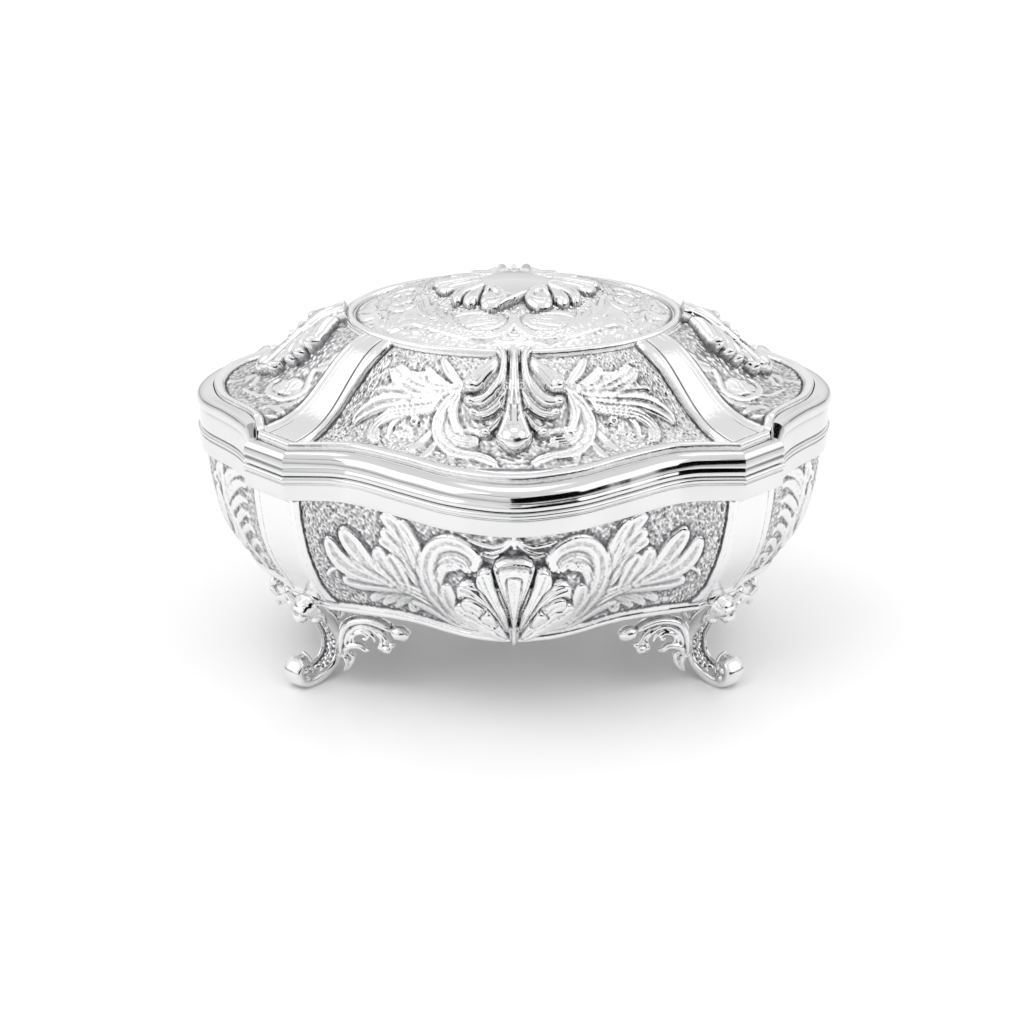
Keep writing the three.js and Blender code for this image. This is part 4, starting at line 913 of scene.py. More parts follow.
# canted corner: a soft raised fillet round a flat field
ci = np.nonzero(cols.seg == 1)[0]
e1 = np.abs(along - along[:, ci[0]:ci[0] + 1])
first = np.arange(len(cols)) <= len(cols) // 2
w1 = along[:, ci[first[ci]][-1]:ci[first[ci]][-1] + 1]
across = np.where(first[None], along, along[:, -1:] - along)
width = w1
fieldD = np.minimum(np.minimum(across - 1.0, width - 1.6 - across), np.minimum(-8.3 - dz, dz + 40.0))
isc = (cols.seg == 1)[None] * wall
corner = -0.30 * smoothstep(fieldD, 0, 0.4) * isc + 0.20 * np.exp(-((fieldD - 0.0) / 0.35) ** 2) * isc * (across > 0.3)
ground = -0.5 * inside - 0.22 * np.exp(-((D - 0.42) / 0.28) ** 2) * wall
free = inside * np.clip(1 - rel / 0.12, 0, 1)
h = ground + rel + corner + stipple(P.shape[:2], 0.085) * free
# painted shade: the hollows are darkened (patina with painted shade), with a painted shadow line along the groove round
# the end panel, a painted shadow line round the edge of the canted corner's sunk field and a painted shadow under the
# step below the band; the stippled ground is a little darker
patina_and_shade = np.clip(tone_of(h, 3, 1.3) * np.where(D > 0, 0.9, 0.25) + 0.30 * np.exp(-((D - 0.35) / 0.3) ** 2) + 0.1 * free
               + isc * (0.62 * np.exp(-((fieldD - 0.1) / 0.16) ** 2) * (across > 0.3) + 0.8 * np.exp(-((dz + 7.85) / 0.18) ** 2)), 0, 1) * np.maximum(wall, 0.2)
P1 = P + normals(P) * (h * (((cols.seg == 4) | (cols.seg == 1)) & True)[None])[..., None]
back = loft(cols, SEAM, FOOT, [k for k, _ in K_BACK[::-1]], R_BODY, [z for _, z in K_BACK[::-1]])
V, F = slab(P1, back)
V[P1.shape[0] * P1.shape[1]:] = full_end(back.copy(), cols).reshape(-1, 3)
me = make_mesh("body_side", V, F, attrs={"patina_and_shade": np.r_[patina_and_shade.ravel(), np.zeros(back.shape[0] * back.shape[1])]})
add("body_wall_right", me, "box", CHASED, ["body_shell"])
add("body_wall_left", me, "box", CHASED, ["body_shell"], HALF_TURN)


# ------------------------------------------------------------------ mouldings
def arc(cx, cz, r, a0, a1, n):
    """Points of an arc in the (r, dz) section; angle 0 points outwards (towards smaller r), 90 up."""
    a = np.radians(np.linspace(a0, a1, n))
    return [(cx - r * math.cos(w), cz + r * math.sin(w)) for w in a]


def seat(P, z0, z1):
    """The flat behind the hinge leaves."""
    m = (np.abs(P[..., 0]) < 11.5) & (P[..., 1] > 62.6) & (P[..., 2] > z0) & (P[..., 2] < z1)
    P[..., 1] = np.where(m, 62.6, P[..., 1])
    return P


ALL = spread(n_front=150, n_corner=7, n_end=34)
band = [(1.5, -6.95), (0.62, -6.9), (0.40, -6.8), (0.30, -6.6), (0.24, -6.1), (0.18, -5.2), (0.13, -4.2), (0.09, -3.3), (0.05, -2.7), (0.06, -2.45), (0.20, -2.34), (0.40, -2.26), (0.40, -2.1)] \
    + arc(0.56, -1.12, 0.84, -68, 72, 11) + [(0.72, -0.2), (1.1, -0.09), (3.2, -0.09), (3.2, -1.2), (4.0, -5.9), (2.6, -7.3)]
P = seat(loft(ALL, SEAM, FOOT, [k for k, _ in band], R_BODY, [z for _, z in band]), SEAM_Z - 8.2, SEAM_Z + 1)
n = len(ALL)
me = make_mesh("band", P.reshape(-1, 3), [grid_faces(len(band), n, True), np.stack([(len(band) - 1) * n + np.arange(n), np.arange(n), (np.arange(n) + 1) % n, (len(band) - 1) * n + (np.arange(n) + 1) % n], -1)], 35)
add("body_rim_band", me, "box", POLISHED, ["body_shell"])

low = [(1.0, 0.09), (0.42, 0.11), (0.26, 0.22), (0.18, 0.45), (0.15, 0.75), (0.15, 1.0), (0.19, 1.22), (0.27, 1.45), (0.38, 1.72), (0.50, 2.0), (0.60, 2.24), (0.62, 2.40), (0.32, 2.44)]
high = [(4.1, 4.8), (3.2, 3.4), (3.2, 0.09)]
rimp = low + [(0.06, 2.50), (-0.02, 2.64), (0.02, 2.9), (0.15, 3.5), (0.34, 4.15), (0.64, 4.78), (1.14, 5.36), (1.66, 5.72), (2.13, 5.98), (2.6, 6.15), (3.1, 6.26), (3.5, 6.24), (3.8, 6.1), (3.98, 5.8), (4.1, 5.3)] + high
rime = low[:-2] + [(0.44, 2.36), (0.10, 2.42)] + [(-0.30, 2.55), (-0.46, 2.9), (-0.52, 3.4), (-0.48, 4.1), (-0.32, 4.6), (-0.05, 5.1), (0.35, 5.6), (0.9, 6.05), (1.6, 6.4), (2.35, 6.62), (3.1, 6.75), (3.7, 6.83), (4.1, 6.86), (4.4, 6.8), (4.55, 6.3)] + high
P = loft(ALL, SEAM, LID, [k for k, _ in rimp], R_LID, [z for _, z in rimp])
E = loft(ALL, SEAM, LID, [k for k, _ in rime], R_LID, [z for _, z in rime])
lift = ALL.raised()[None, :, None]
P = seat(P + (E - P) * lift, SEAM_Z - 1, SEAM_Z + 8)
P[..., 2] += END_RAISE * lift[..., 0] * np.clip((P[..., 2] - SEAM_Z - 0.5) / 1.0, 0, 1)
me = make_mesh("rim", P.reshape(-1, 3), [grid_faces(len(rimp), n, True), np.stack([(len(rimp) - 1) * n + np.arange(n), np.arange(n), (np.arange(n) + 1) % n, (len(rimp) - 1) * n + (np.arange(n) + 1) % n], -1)], 35)
add("lid_rim_moulding", me, "lid", POLISHED, ["lid_rim"])


# ------------------------------------------------------------------ lid skin
def rise(t):
    s = np.clip(t, 0, 1) ** 1.28
    return s - 0.09 * np.sin(2 * np.pi * s)


def fuller(cols, t):
    """How much higher the middle of an end stands than the corners at the same t."""
    w = np.where(cols.seg == 4, smoothstep(cols.u, 0.0, 0.55), 0.0)
    s = np.clip(t, 0, 1)
    return 22.8 * 0.45 * (s ** 1.08 - 0.045 * np.sin(2 * np.pi * s) - rise(s)) * w


def lid_grid(cols, ts):
    """Rows from the medallion (t = 1) down to the rim (t = 0), then the riser under it."""
    a, b = cols.at(LID), cols.at(OVAL)
    t = np.asarray(ts, float)[:, None, None]
    xy = a[None] * (1 - t) + b[None] * t
    z = np.broadcast_to(SEAM_Z + LID_Z0 + (OVAL_RISE - LID_Z0) * rise(t), xy.shape[:2] + (1,))
    P = np.concatenate([xy, z], -1)
    P[..., 2] += END_RAISE * cols.skin_raised()[None] * (1 - t[..., 0]) ** 2 + fuller(cols, t[..., 0])
    tail = loft(cols, SEAM, LID, TAIL_K, R_LID, TAIL_Z)
    tail[..., 2] += END_RAISE * cols.skin_raised()[None]
    return np.concatenate([P, tail])


LID_T = np.r_[np.linspace(0.985, 0.095, 88), np.linspace(0.088, 0.003, 17)]
TAIL_K, TAIL_Z = [5.05, 4.85, 4.70, 4.62, 4.6], [7.82, 7.62, 7.25, 6.6, 5.0]
BACK_T = [0.0, 0.2, 0.4, 0.6, 0.8, 0.93]


def lid_back(cols):
    a, b = cols.at(LID), cols.at(OVAL)
    t = np.array(BACK_T[::-1])[:, None, None]
    xy = a[None] * (1 - t) + b[None] * t
    z = np.broadcast_to(SEAM_Z + LID_Z0 + (OVAL_RISE - LID_Z0) * rise(t) - 1.7, xy.shape[:2] + (1,))
    P = np.concatenate([xy, z], -1)
    P[..., 2] += END_RAISE * cols.skin_raised()[None] * (1 - t[..., 0]) ** 2 + fuller(cols, t[..., 0])
    low = loft(cols, SEAM, LID, [5.6], R_LID, [5.0])
    low[..., 2] += END_RAISE * cols.skin_raised()[None]
    return np.concatenate([P, low])


def lid_tail_bead(D):
    """The rounded frame along the lid's edge; D is millimetres from the edge along the skin."""
    q = np.clip((D - 0.62) / 1.3, -1, 1)
    return 0.72 * np.sqrt(1 - q * q)


cols = spread(n_front=380, which="front")
P = lid_grid(cols, LID_T)
m_t = len(LID_T)
px, py = front_image(P)
run = arc_from(P[:m_t], 0)
from_rim = np.concatenate([run[-1:] - run, np.zeros((5, len(cols)))])
from_oval = np.concatenate([run, np.full((5, len(cols)), 99.0)])
sd = polygon_sd(px, py, LID_EDGE + [(306, 470), (600, 470), (600, 330), (393.5, 330)]) * 0.272
wide = 1.55 + 0.6 * np.exp(-(P[..., 0] / 24) ** 2)
D = np.minimum(np.minimum(sd, from_rim - wide), from_oval + 0.35)
chased = np.concatenate([np.ones((m_t, len(cols))), np.zeros((5, len(cols)))])
inside = smoothstep(D, 0, 0.45) * chased
rel = lid_front(px, py) * smoothstep(D, -0.1, 0.9)
# from the corner line to the chased field: a raised bead beside a thin line
e = np.minimum(arc_from(P, 1), arc_from(P, 1)[:, -1:] - arc_from(P, 1))
bead = 0.42 * np.sqrt(np.clip(1 - ((sd + 1.1) / 1.1) ** 2, 0, 1)) * smoothstep(from_rim, 0.8, 1.8) * chased
line = -0.30 * np.exp(-((sd + 0.05) / 0.2) ** 2) * smoothstep(from_rim, 1.3, 1.9) * chased
ground = -0.5 * inside - 0.25 * np.exp(-((D - 0.42) / 0.28) ** 2) * chased
free = inside * np.clip(1 - rel / 0.12, 0, 1)
h = ground + rel + bead + line + stipple(P.shape[:2], 0.085) * free
# painted shade: the hollows are darkened (patina with painted shade), with a painted shadow line along the groove
# inside the frame and a painted shadow ring just below the medallion's rim
patina_and_shade = np.clip(tone_of(h, 3, 1.3) * np.where(D > 0, 0.93, 0.3) + 0.42 * np.exp(-((D - 0.35) / 0.34) ** 2) + 0.45 * np.exp(-((from_oval - 0.9) / 0.3) ** 2), 0, 1) * chased
P1 = P + normals(P) * (h * smoothstep(e, 0, 0.3) * chased)[..., None]
P1[..., 2] += lid_tail_bead(from_rim) * chased
V, F = slab(P1, lid_back(cols))
me = make_mesh("lid_front", V, F, attrs={"patina_and_shade": np.r_[patina_and_shade.ravel(), np.zeros(len(V) - patina_and_shade.size)]})
add("lid_skin_front", me, "lid", CHASED, ["lid_shell"])
add("lid_skin_back", me, "lid", CHASED, ["lid_shell"], HALF_TURN)


def lid_end(y, w, to):
    """Low leaves on the lid's end: y from the front corner (negative) to the middle, w millimetres up from the rim."""
    R = Relief(y, w, to, 0.34)

    def c(*pts):
        return [(195 + p[0] / 10.116, 305 + p[1] / 10.116) + tuple((v / 10.116 if k == 0 else v) for k, v in enumerate(p[2:])) for p in pts]

    def s(h, prof, *pts):
        R.stroke(c(*pts), h, prof, halo=0.3, n=26)
    # fan of flutes
    s(0.55, "leaf", (668, 560, 12), (600, 610, 26), (520, 640, 30), (440, 660, 18))
    s(0.62, "leaf", (672, 570, 14), (620, 650, 30), (560, 720, 32), (520, 750, 18))
    s(0.66, "leaf", (680, 590, 14), (655, 690, 30), (600, 770, 30), (540, 800, 16))
    s(0.45, "leaf", (430, 700, 14), (380, 690, 26), (330, 720, 20))
    s(0.45, "leaf", (480, 830, 12), (560, 880, 20), (640, 900, 20), (700, 890, 12))
    # round scroll, with leaves in it
    s(0.45, "flat", (860, 830, 60), (930, 830, 84), (1000, 820, 60))
    s(0.66, "round", (1190, 640, 16), (1150, 740, 24), (1100, 850, 28), (1000, 920, 30), (880, 940, 30), (770, 900, 28), (735, 840, 24), (770, 780, 20), (840, 740, 16))
    s(0.60, "leaf", (1070, 790, 14), (1030, 750, 24), (970, 760, 24), (950, 810, 18))
    s(0.58, "leaf", (820, 880, 12), (860, 840, 24), (900, 790, 24), (890, 750, 12))
    s(0.55, "leaf", (1060, 850, 12), (990, 880, 22), (920, 880, 18))
    # leaves towards the corner and under the scroll
    s(0.55, "leaf", (1180, 660, 14), (1270, 640, 28), (1350, 620, 24))
    s(0.55, "leaf", (1240, 600, 12), (1340, 570, 26), (1430, 540, 22))
    s(0.55, "leaf", (1360, 520, 12), (1450, 490, 24), (1530, 450, 18))
    s(0.50, "flute", (1130, 890, 14), (1040, 960, 26), (930, 1000, 28), (820, 1010, 16))
    s(0.50, "leaf", (660, 1030, 14), (740, 1010, 26), (830, 1040, 28), (900, 1090, 16))
    s(0.45, "leaf", (700, 1100, 12), (760, 1110, 22), (820, 1130, 14))
    return R.get()


cols = spread(n_corner=40, n_end=76, which="right")
P = lid_grid(cols, LID_T)
m_t = len(LID_T)
chased = np.concatenate([np.ones((m_t, len(cols))), np.zeros((5, len(cols)))])
along = arc_from(P, 1)
run = arc_from(P[:m_t], 0)
from_rim = np.concatenate([run[-1:] - run, np.zeros((5, len(cols)))])
from_oval = np.concatenate([run, np.full((5, len(cols)), 99.0)])
i0, i1 = np.nonzero(cols.seg == 4)[0][[0, -1]]
edge = np.minimum(along - along[:, i0:i0 + 1], along[:, i1:i1 + 1] - along)
isend = (cols.seg == 4)[None]
D = np.where(isend, np.minimum(np.minimum(edge - 1.35, from_rim - 2.05), from_oval - 0.35), -5)
inside = smoothstep(D, 0, 0.45) * chased
px, py = front_image(P)
rel = lid_end(-np.abs(P[..., 1]), from_rim, by_sight(np.where(cols.sy[None] < 0, px, 1e6), py, -np.abs(P[..., 1]), from_rim)) * smoothstep(D, -0.1, 0.9) * 0.62
ground = -0.5 * inside - 0.25 * np.exp(-((D - 0.42) / 0.28) ** 2) * chased
bead = 0.30 * np.sqrt(np.clip(1 - ((edge - 0.70) / 0.65) ** 2, 0, 1)) * isend * chased * smoothstep(from_rim, 1.0, 2.2)
first = np.arange(len(cols)) <= len(cols) // 2
across = np.where(first[None], along, along[:, -1:] - along)
ci = np.nonzero(cols.seg == 1)[0]
last = ci[first[ci]][-1]
width = along[:, last:last + 1]
isc = (cols.seg == 1)[None] * chased
fieldD = np.minimum(np.minimum(across - 0.42, width - 0.45 - across), from_rim - 2.3)
fade = np.where(across < width / 2, 1.0, 0.35 + 0.65 * smoothstep(-from_rim, -12, -5))
line = -0.34 * np.exp(-((fieldD) / 0.15) ** 2) * isc * fade
bulge = 0.10 * smoothstep(fieldD, 0, 0.5) * isc
free = inside * np.clip(1 - rel / 0.12, 0, 1)
h = ground + rel + bead + line + bulge + stipple(P.shape[:2], 0.085) * free
# painted shade: the hollows are darkened (patina with painted shade), with a painted shadow line along the groove
# inside the end panel's frame and a strong painted dark line in the groove round the canted corner's field; the
# stippled ground is a little darker
patina_and_shade = np.clip(tone_of(h, 3, 1.3) * np.where(D > 0, 0.9, 0.2) * np.where(isc > 0, 0.3, 1) + 0.32 * np.exp(-((D - 0.35) / 0.3) ** 2) + 1.3 * np.exp(-(fieldD / 0.22) ** 2) * isc * fade + 0.1 * free, 0, 1) * chased
keep = (((cols.seg == 4) | (cols.seg == 1)))[None] * chased
P1 = P + normals(P) * (h * keep)[..., None]
P1[..., 2] += lid_tail_bead(from_rim) * chased
V, F = slab(P1, lid_back(cols))
me = make_mesh("lid_side", V, F, attrs={"patina_and_shade": np.r_[patina_and_shade.ravel(), np.zeros(len(V) - patina_and_shade.size)]})
add("lid_skin_right", me, "lid", CHASED, ["lid_shell"])
add("lid_skin_left", me, "lid", CHASED, ["lid_shell"], HALF_TURN)


# ------------------------------------------------------------------ medallion
def crown(x, y):
    return SEAM_Z + OVAL_RISE + CROWN_RISE * (1 - (x / OVAL_A) ** 2 - (y / OVAL_B) ** 2)


def from_pixels(x, y, up=0.0):
    """The point seen at a pixel, `up` over the crown, as (x, y) in millimetres."""
    d = FWD + (x - 514) / FOCAL * np.array([1.0, 0, 0]) + (512 - y) / FOCAL * UP
    s = 900.0
    for _ in range(30):
        p = EYE + d * s
        f = p[2] - up - crown(p[0], p[1])
        slope = d[2] + 2 * CROWN_RISE * (p[0] * d[0] / OVAL_A ** 2 + p[1] * d[1] / OVAL_B ** 2)
        s -= f / slope
    p = EYE + d * s
    return float(p[0]), float(p[1])


nw = 560
w = np.linspace(0, 2 * np.pi, nw, endpoint=False) - np.pi / 2
ring_rows = [(0.55, -1.2), (0.55, -0.1), (0.42, 0.35), (0.12, 0.75), (-0.3, 1.0), (-0.75, 1.02), (-1.15, 0.8), (-1.42, 0.4), (-1.6, -0.1)]
rows = [np.stack([(OVAL_A + k) * np.cos(w), (OVAL_B + k) * np.sin(w), np.full(nw, SEAM_Z + OVAL_RISE + z)], -1) for k, z in ring_rows]
ks = np.linspace(0.955, 0.28, 84)
field = np.stack([np.stack([OVAL_A * k * np.cos(w), OVAL_B * k * np.sin(w), crown(OVAL_A * k * np.cos(w), OVAL_B * k * np.sin(w))], -1) for k in ks])
fx, fy = field[..., 0], field[..., 1]
h = np.zeros(fx.shape)
rel = medal_front(-np.abs(fx), -np.abs(fy), from_pixels, 0.34)
D = (0.955 - ks)[:, None] * 36 * np.ones((1, nw))
free = smoothstep(D, 0.3, 0.9) * np.clip(1 - rel / 0.12, 0, 1) * smoothstep(ks, 0.3, 0.34)[:, None]
h = rel * smoothstep(D, 0.2, 1.0) - 0.25 - 0.65 * (1 - smoothstep(D, 0.6, 3.5)) + stipple(fx.shape, 0.075) * free
# painted shade: the hollows are darkened (patina with painted shade) and a painted shadow ring runs just inside the
# medallion's border
patina_and_shade = np.clip(0.62 * tone_of(h, 3, 1.6) + 0.5 * np.exp(-(D / 0.5) ** 2), 0, 1)
field[..., 2] += h
inner = np.stack([np.stack([OVAL_A * k * np.cos(w), OVAL_B * k * np.sin(w), crown(OVAL_A * k * np.cos(w), OVAL_B * k * np.sin(w)) - 0.3], -1) for k in (0.2, 0.1)])
top = np.concatenate([np.stack(rows), field, inner])
under = np.stack([np.stack([OVAL_A * k * np.cos(w), OVAL_B * k * np.sin(w), np.full(nw, SEAM_Z + OVAL_RISE + z)], -1) for k, z in ((0.98, -1.5), (0.85, 0.7), (0.5, 4.7), (0.1, 6.6))])
V = np.concatenate([top.reshape(-1, 3), under.reshape(-1, 3), [[0, 0, crown(0, 0) - 0.3], [0, 0, SEAM_Z + OVAL_RISE + 6.7]]])
mt, mu = len(top), len(under)
off = mt * nw
i, i2 = np.arange(nw), (np.arange(nw) + 1) % nw
F = [grid_faces(mt, nw, True), grid_faces(mu, nw, True, off), np.stack([i, i2, off + i2, off + i], -1),
     np.stack([(mt - 1) * nw + i, (mt - 1) * nw + i2, np.full(nw, len(V) - 2)], -1), np.stack([off + (mu - 1) * nw + i, off + (mu - 1) * nw + i2, np.full(nw, len(V) - 1)], -1)]
tt = np.zeros(len(V))
tt[9 * nw:9 * nw + patina_and_shade.size] = patina_and_shade.ravel()
me = make_mesh("medallion", V, F, attrs={"patina_and_shade": tt})
add("top_medallion_disc", me, "lid", CHASED, ["top_medallion"])


# ------------------------------------------------------------------ applied ornaments
def trimmed(top, bottom, keep):
    """A closed piece over the kept quads of a grid."""
    m, n = top.shape[:2]
    V = np.concatenate([top.reshape(-1, 3), bottom.reshape(-1, 3)])
    off = m * n
    j, i = np.nonzero(keep)
    q = np.stack([j * n + i, (j + 1) * n + i, (j + 1) * n + i + 1, j * n + i + 1], -1)
    faces = [q, (q + off)[:, ::-1]]
    pad = np.pad(keep, 1)
    for dj, di, a, b in ((0, -1, (0, 0), (1, 0)), (1, 0, (1, 0), (1, 1)), (0, 1, (1, 1), (0, 1)), (-1, 0, (0, 1), (0, 0))):
        bare = keep & ~pad[1 + dj:1 + dj + m - 1, 1 + di:1 + di + n - 1]
        j, i = np.nonzero(bare)
        p, r = (j + a[0]) * n + i + a[1], (j + b[0]) * n + i + b[1]
        faces.append(np.stack([r, p, p + off, r + off], -1))
    used = np.unique(np.concatenate([f.ravel() for f in faces]))
    new = np.full(len(V), -1)
    new[used] = np.arange(len(used))
    return V[used], [new[f] for f in faces], used


def clean(keep):
    """Drops single quads and corners that only touch."""
    for _ in range(3):
        p = np.pad(keep, 1).astype(int)
        count = p[:-2, 1:-1] + p[2:, 1:-1] + p[1:-1, :-2] + p[1:-1, 2:]
        keep = keep & (count >= 2)
        p = np.pad(keep, 1)
        diag = keep & p[2:, 2:] & ~p[1:-1, 2:] & ~p[2:, 1:-1]
        diag2 = keep & p[2:, :-2] & ~p[1:-1, :-2] & ~p[2:, 1:-1]
        keep = keep & ~diag & ~diag2
    return keep


def applied(base, height, floor, name, cut=0.22):
    """height is millimetres over the surface under it."""
    nrm = normals(base)
    hq = np.minimum(np.minimum(height[:-1, :-1], height[1:, :-1]), np.minimum(height[:-1, 1:], height[1:, 1:]))
    keep = clean(hq > cut)
    top = base + nrm * (height + 0.05)[..., None]
    low = base + nrm * floor
    V, F, used = trimmed(top, low, keep)
    # painted shade: the hollows are darkened (patina with painted shade), the low parts near each leaf's outline are
    # darkened as painted shade at its foot, and the side walls fade to dark towards the ground as painted shadow under
    # the leaves
    t = np.concatenate([np.clip(tone_of(height, 3, 0.42) - 0.08 + 0.5 * (height < cut * 2.5), 0, 1).ravel(), np.full(height.size, 0.8)])[used]
    return make_mesh(name, V, F, sharp=60, attrs={"patina_and_shade": t})


def lid_patch(which, k, na=150, nt_=190, half_w=12.8):
    """A grid over the lid at the middle of a side: a to the right seen from outside, t up. Rows run down."""
    t = np.linspace(0.99, 0.10, nt_)
    a = np.linspace(-half_w, half_w, na) * k
    P = np.zeros((nt_, na, 3))
    seg = 0 if which == "front" else 4
    u = np.linspace(0, 0.6, 200) if which == "front" else np.linspace(1, 0.05, 200)
    pl, po = LID.at(np.full(200, seg), u), OVAL.at(np.full(200, seg), u)
    for j, tj in enumerate(t):
        line = pl * (1 - tj) + po * tj
        d = np.r_[0, np.cumsum(np.linalg.norm(np.diff(line, axis=0), axis=1))]
        x, y = np.interp(np.abs(a), d, line[:, 0]), np.interp(np.abs(a), d, line[:, 1])
        if which == "front":
            P[j] = np.stack([x * np.sign(a), -y, np.full(na, SEAM_Z + LID_Z0 + (OVAL_RISE - LID_Z0) * rise(tj))], -1)
        else:
            ua = np.interp(np.abs(a), d, u)
            more = END_RAISE * (1 - tj) ** 2 + fuller(Cols(np.full(na, 4), ua, None, None), tj)
            P[j] = np.stack([x, y * np.sign(a), SEAM_Z + LID_Z0 + (OVAL_RISE - LID_Z0) * rise(tj) + more], -1)
    return P


base = lid_patch("front", 1.0)
px, py = front_image(base)
H = drop_half(px, py)
me = applied(base, H, -0.7, "acanthus_front")
add("lid_leaf_drop_front", me, "lid", ORNAMENT, ["lid_acanthus_front"])
add("lid_leaf_drop_back", me, "lid", ORNAMENT, ["lid_acanthus_back"], HALF_TURN)
base = lid_patch("right", 0.84)
me = applied(base, H * 0.92, -0.7, "acanthus_end")
add("lid_leaf_drop_right", me, "lid", ORNAMENT, ["lid_acanthus_right"])
add("lid_leaf_drop_left", me, "lid", ORNAMENT, ["lid_acanthus_left"], HALF_TURN)


def body_patch(na=190, nz=160, half_w=16.5):
    dz = np.linspace(-13.0, -43.0, nz)
    a = np.linspace(-half_w, half_w, na)
    P = np.zeros((nz, na, 3))
    u = np.linspace(0, 0.6, 200)
    ps, pf = SEAM.at(np.full(200, 0), u), FOOT.at(np.full(200, 0), u)
    for j, z in enumerate(dz):
        k = float(rw(z)) / R_BODY
        line = ps * (1 - k) + pf * k
        d = np.r_[0, np.cumsum(np.linalg.norm(np.diff(line, axis=0), axis=1))]
        x, y = np.interp(np.abs(a), d, line[:, 0]), np.interp(np.abs(a), d, line[:, 1])
        P[j] = np.stack([x * np.sign(a), -y, np.full(na, SEAM_Z + z)], -1)
    return P


base = body_patch()
px, py = front_image(base)
H = shell_half(px, py)
me = applied(base, H, -0.7, "shell_front")
add("body_shell_leaf_front", me, "box", ORNAMENT, ["body_shell_ornament_front"])
add("body_shell_leaf_back", me, "box", ORNAMENT, ["body_shell_ornament_back"], HALF_TURN)


# ------------------------------------------------------------------ wreath and plaque
# each lobe: a cushion with a given outline, with cut lines along it
nw, nr = 520, 84
w = np.linspace(0, 2 * np.pi, nw, endpoint=False) - np.pi / 2
rr = np.linspace(1.10, 0.34, nr)
X = 24.0 * rr[:, None] * np.cos(w)[None]
Y = 18.5 * rr[:, None] * np.sin(w)[None]
# the front's left and right leaves differ a little, as cast ones do
R = Relief(X.copy(), Y.copy(), lambda x, y: from_pixels(x, y, 1.2), 0.27)


def c52(*pts):
    return [(425 + p[0] / 8.711, 252 + p[1] / 8.711) + tuple((v / 8.711 if k_ == 0 else v) for k_, v in enumerate(p[2:])) for p in pts]


for k_ in (-1, 1):
    def m_(*pts):
        return c52(*(pts if k_ < 0 else tuple((1590 - p[0],) + tuple(p[1:]) for p in pts)))

    def line(depth, *pts):
        R.stroke(m_(*pts), depth, "round", halo=0, mode="cut", n=20)
    R.pad(m_((480, 190), (380, 176), (260, 180), (140, 196), (100, 212), (150, 226), (300, 218), (440, 212)), 1.5, 4.5, 0.2)
    # long leaves to the end
    R.pad(m_((490, 205), (400, 196), (260, 206), (130, 222), (62, 246), (58, 278), (100, 296), (220, 276), (360, 254), (490, 246)), 1.9, 6.0, 0.25)
    R.pad(m_((500, 240), (380, 248), (240, 272), (120, 300), (92, 322), (128, 346), (190, 350), (240, 326), (360, 300), (505, 282)), 2.1, 6.0, 0.25)
    R.pad(m_((520, 270), (420, 284), (310, 318), (236, 362), (222, 408), (250, 438), (302, 432), (352, 392), (440, 344), (540, 306)), 2.3, 6.0, 0.25)
    R.pad(m_((540, 300), (450, 330), (370, 360), (328, 398), (332, 440), (380, 460), (432, 444), (470, 416), (500, 370), (560, 330)), 2.4, 7.0, 0.25)
    line(0.35, (480, 222, 6), (340, 232, 11), (180, 250, 12), (90, 266, 7))
    line(0.30, (480, 210, 5), (340, 214, 8), (180, 232, 9), (100, 246, 5))
    line(0.35, (490, 262, 6), (360, 276, 11), (230, 302, 12), (150, 326, 7))
    line(0.35, (510, 288, 6), (410, 310, 11), (320, 350, 12), (262, 400, 7))
    line(0.28, (470, 330, 5), (380, 376, 10), (320, 412, 6))
    line(0.30, (530, 322, 5), (440, 366, 10), (384, 412, 6))
    line(0.9, (440, 418, 5), (452, 432, 12), (436, 448, 6))
    # the big curl at the front
    R.pad(m_((520, 300), (600, 288), (690, 318), (730, 370), (722, 420), (680, 458), (610, 488), (536, 490), (492, 470), (474, 430), (480, 385), (500, 340)), 2.3, 7.5, 0.3)
    line(1.15, (508, 412, 8), (530, 382, 22), (580, 366, 30), (622, 380, 24), (632, 402, 10))
    line(0.35, (500, 446, 5), (560, 440, 10), (640, 430, 10), (690, 396, 6))
R.stroke(c52((640, 470, 12, .8), (700, 440, 20, 1), (780, 404, 22, 1), (850, 372, 20, 1), (900, 350, 12, .8)), 2.3, "round", halo=0.3, mode="max")
# leaves beyond the plaque
B = Relief(X.copy(), Y.copy())
for k_ in (-1, 1):
    for h_, pts in ((1.25, ((11.5, 4.6, 1.2), (15.5, 6.2, 2.0), (19.5, 6.8, 1.3))), (1.4, ((8.0, 6.0, 1.2), (12.0, 8.8, 2.1), (16.0, 9.8, 1.3))), (1.6, ((4.5, 7.2, 1.2), (7.4, 10.2, 2.2), (10.6, 11.8, 1.4)))):
        B.stroke([(k_ * a, b, c_) for a, b, c_ in pts], h_, "round", halo=0.3, mode="max")
        B.stroke([(k_ * a, b, 0.25) for a, b, c_ in pts], 0.3, "round", halo=0, mode="cut")
    B.stroke([(k_ * a, b, c_) for a, b, c_ in ((0.6, 8.0, 0.9), (2.6, 10.4, 1.2), (3.4, 12.4, 1.3), (2.0, 13.2, 0.9))], 1.7, "round", halo=0.3, mode="max")
B.stroke([(0, 8.0, 1.0), (0, 11.0, 1.4), (0, 13.6, 1.0)], 1.9, "round", halo=0.3, mode="max")
H = np.where(Y < 3.5, np.maximum(R.get(), B.get()), B.get())
base = np.stack([X, Y, crown(X, Y)], -1)
base = np.concatenate([base, base[:, :1]], 1)
H = np.concatenate([H, H[:, :1]], 1)
nrm = np.zeros_like(base)
nrm[..., 2] = 1
hq = np.minimum(np.minimum(H[:-1, :-1], H[1:, :-1]), np.minimum(H[:-1, 1:], H[1:, 1:]))
keep = clean(hq > 0.3)
V, F, used = trimmed(base + nrm * (H + 0.05)[..., None], base + nrm * -0.3, keep)
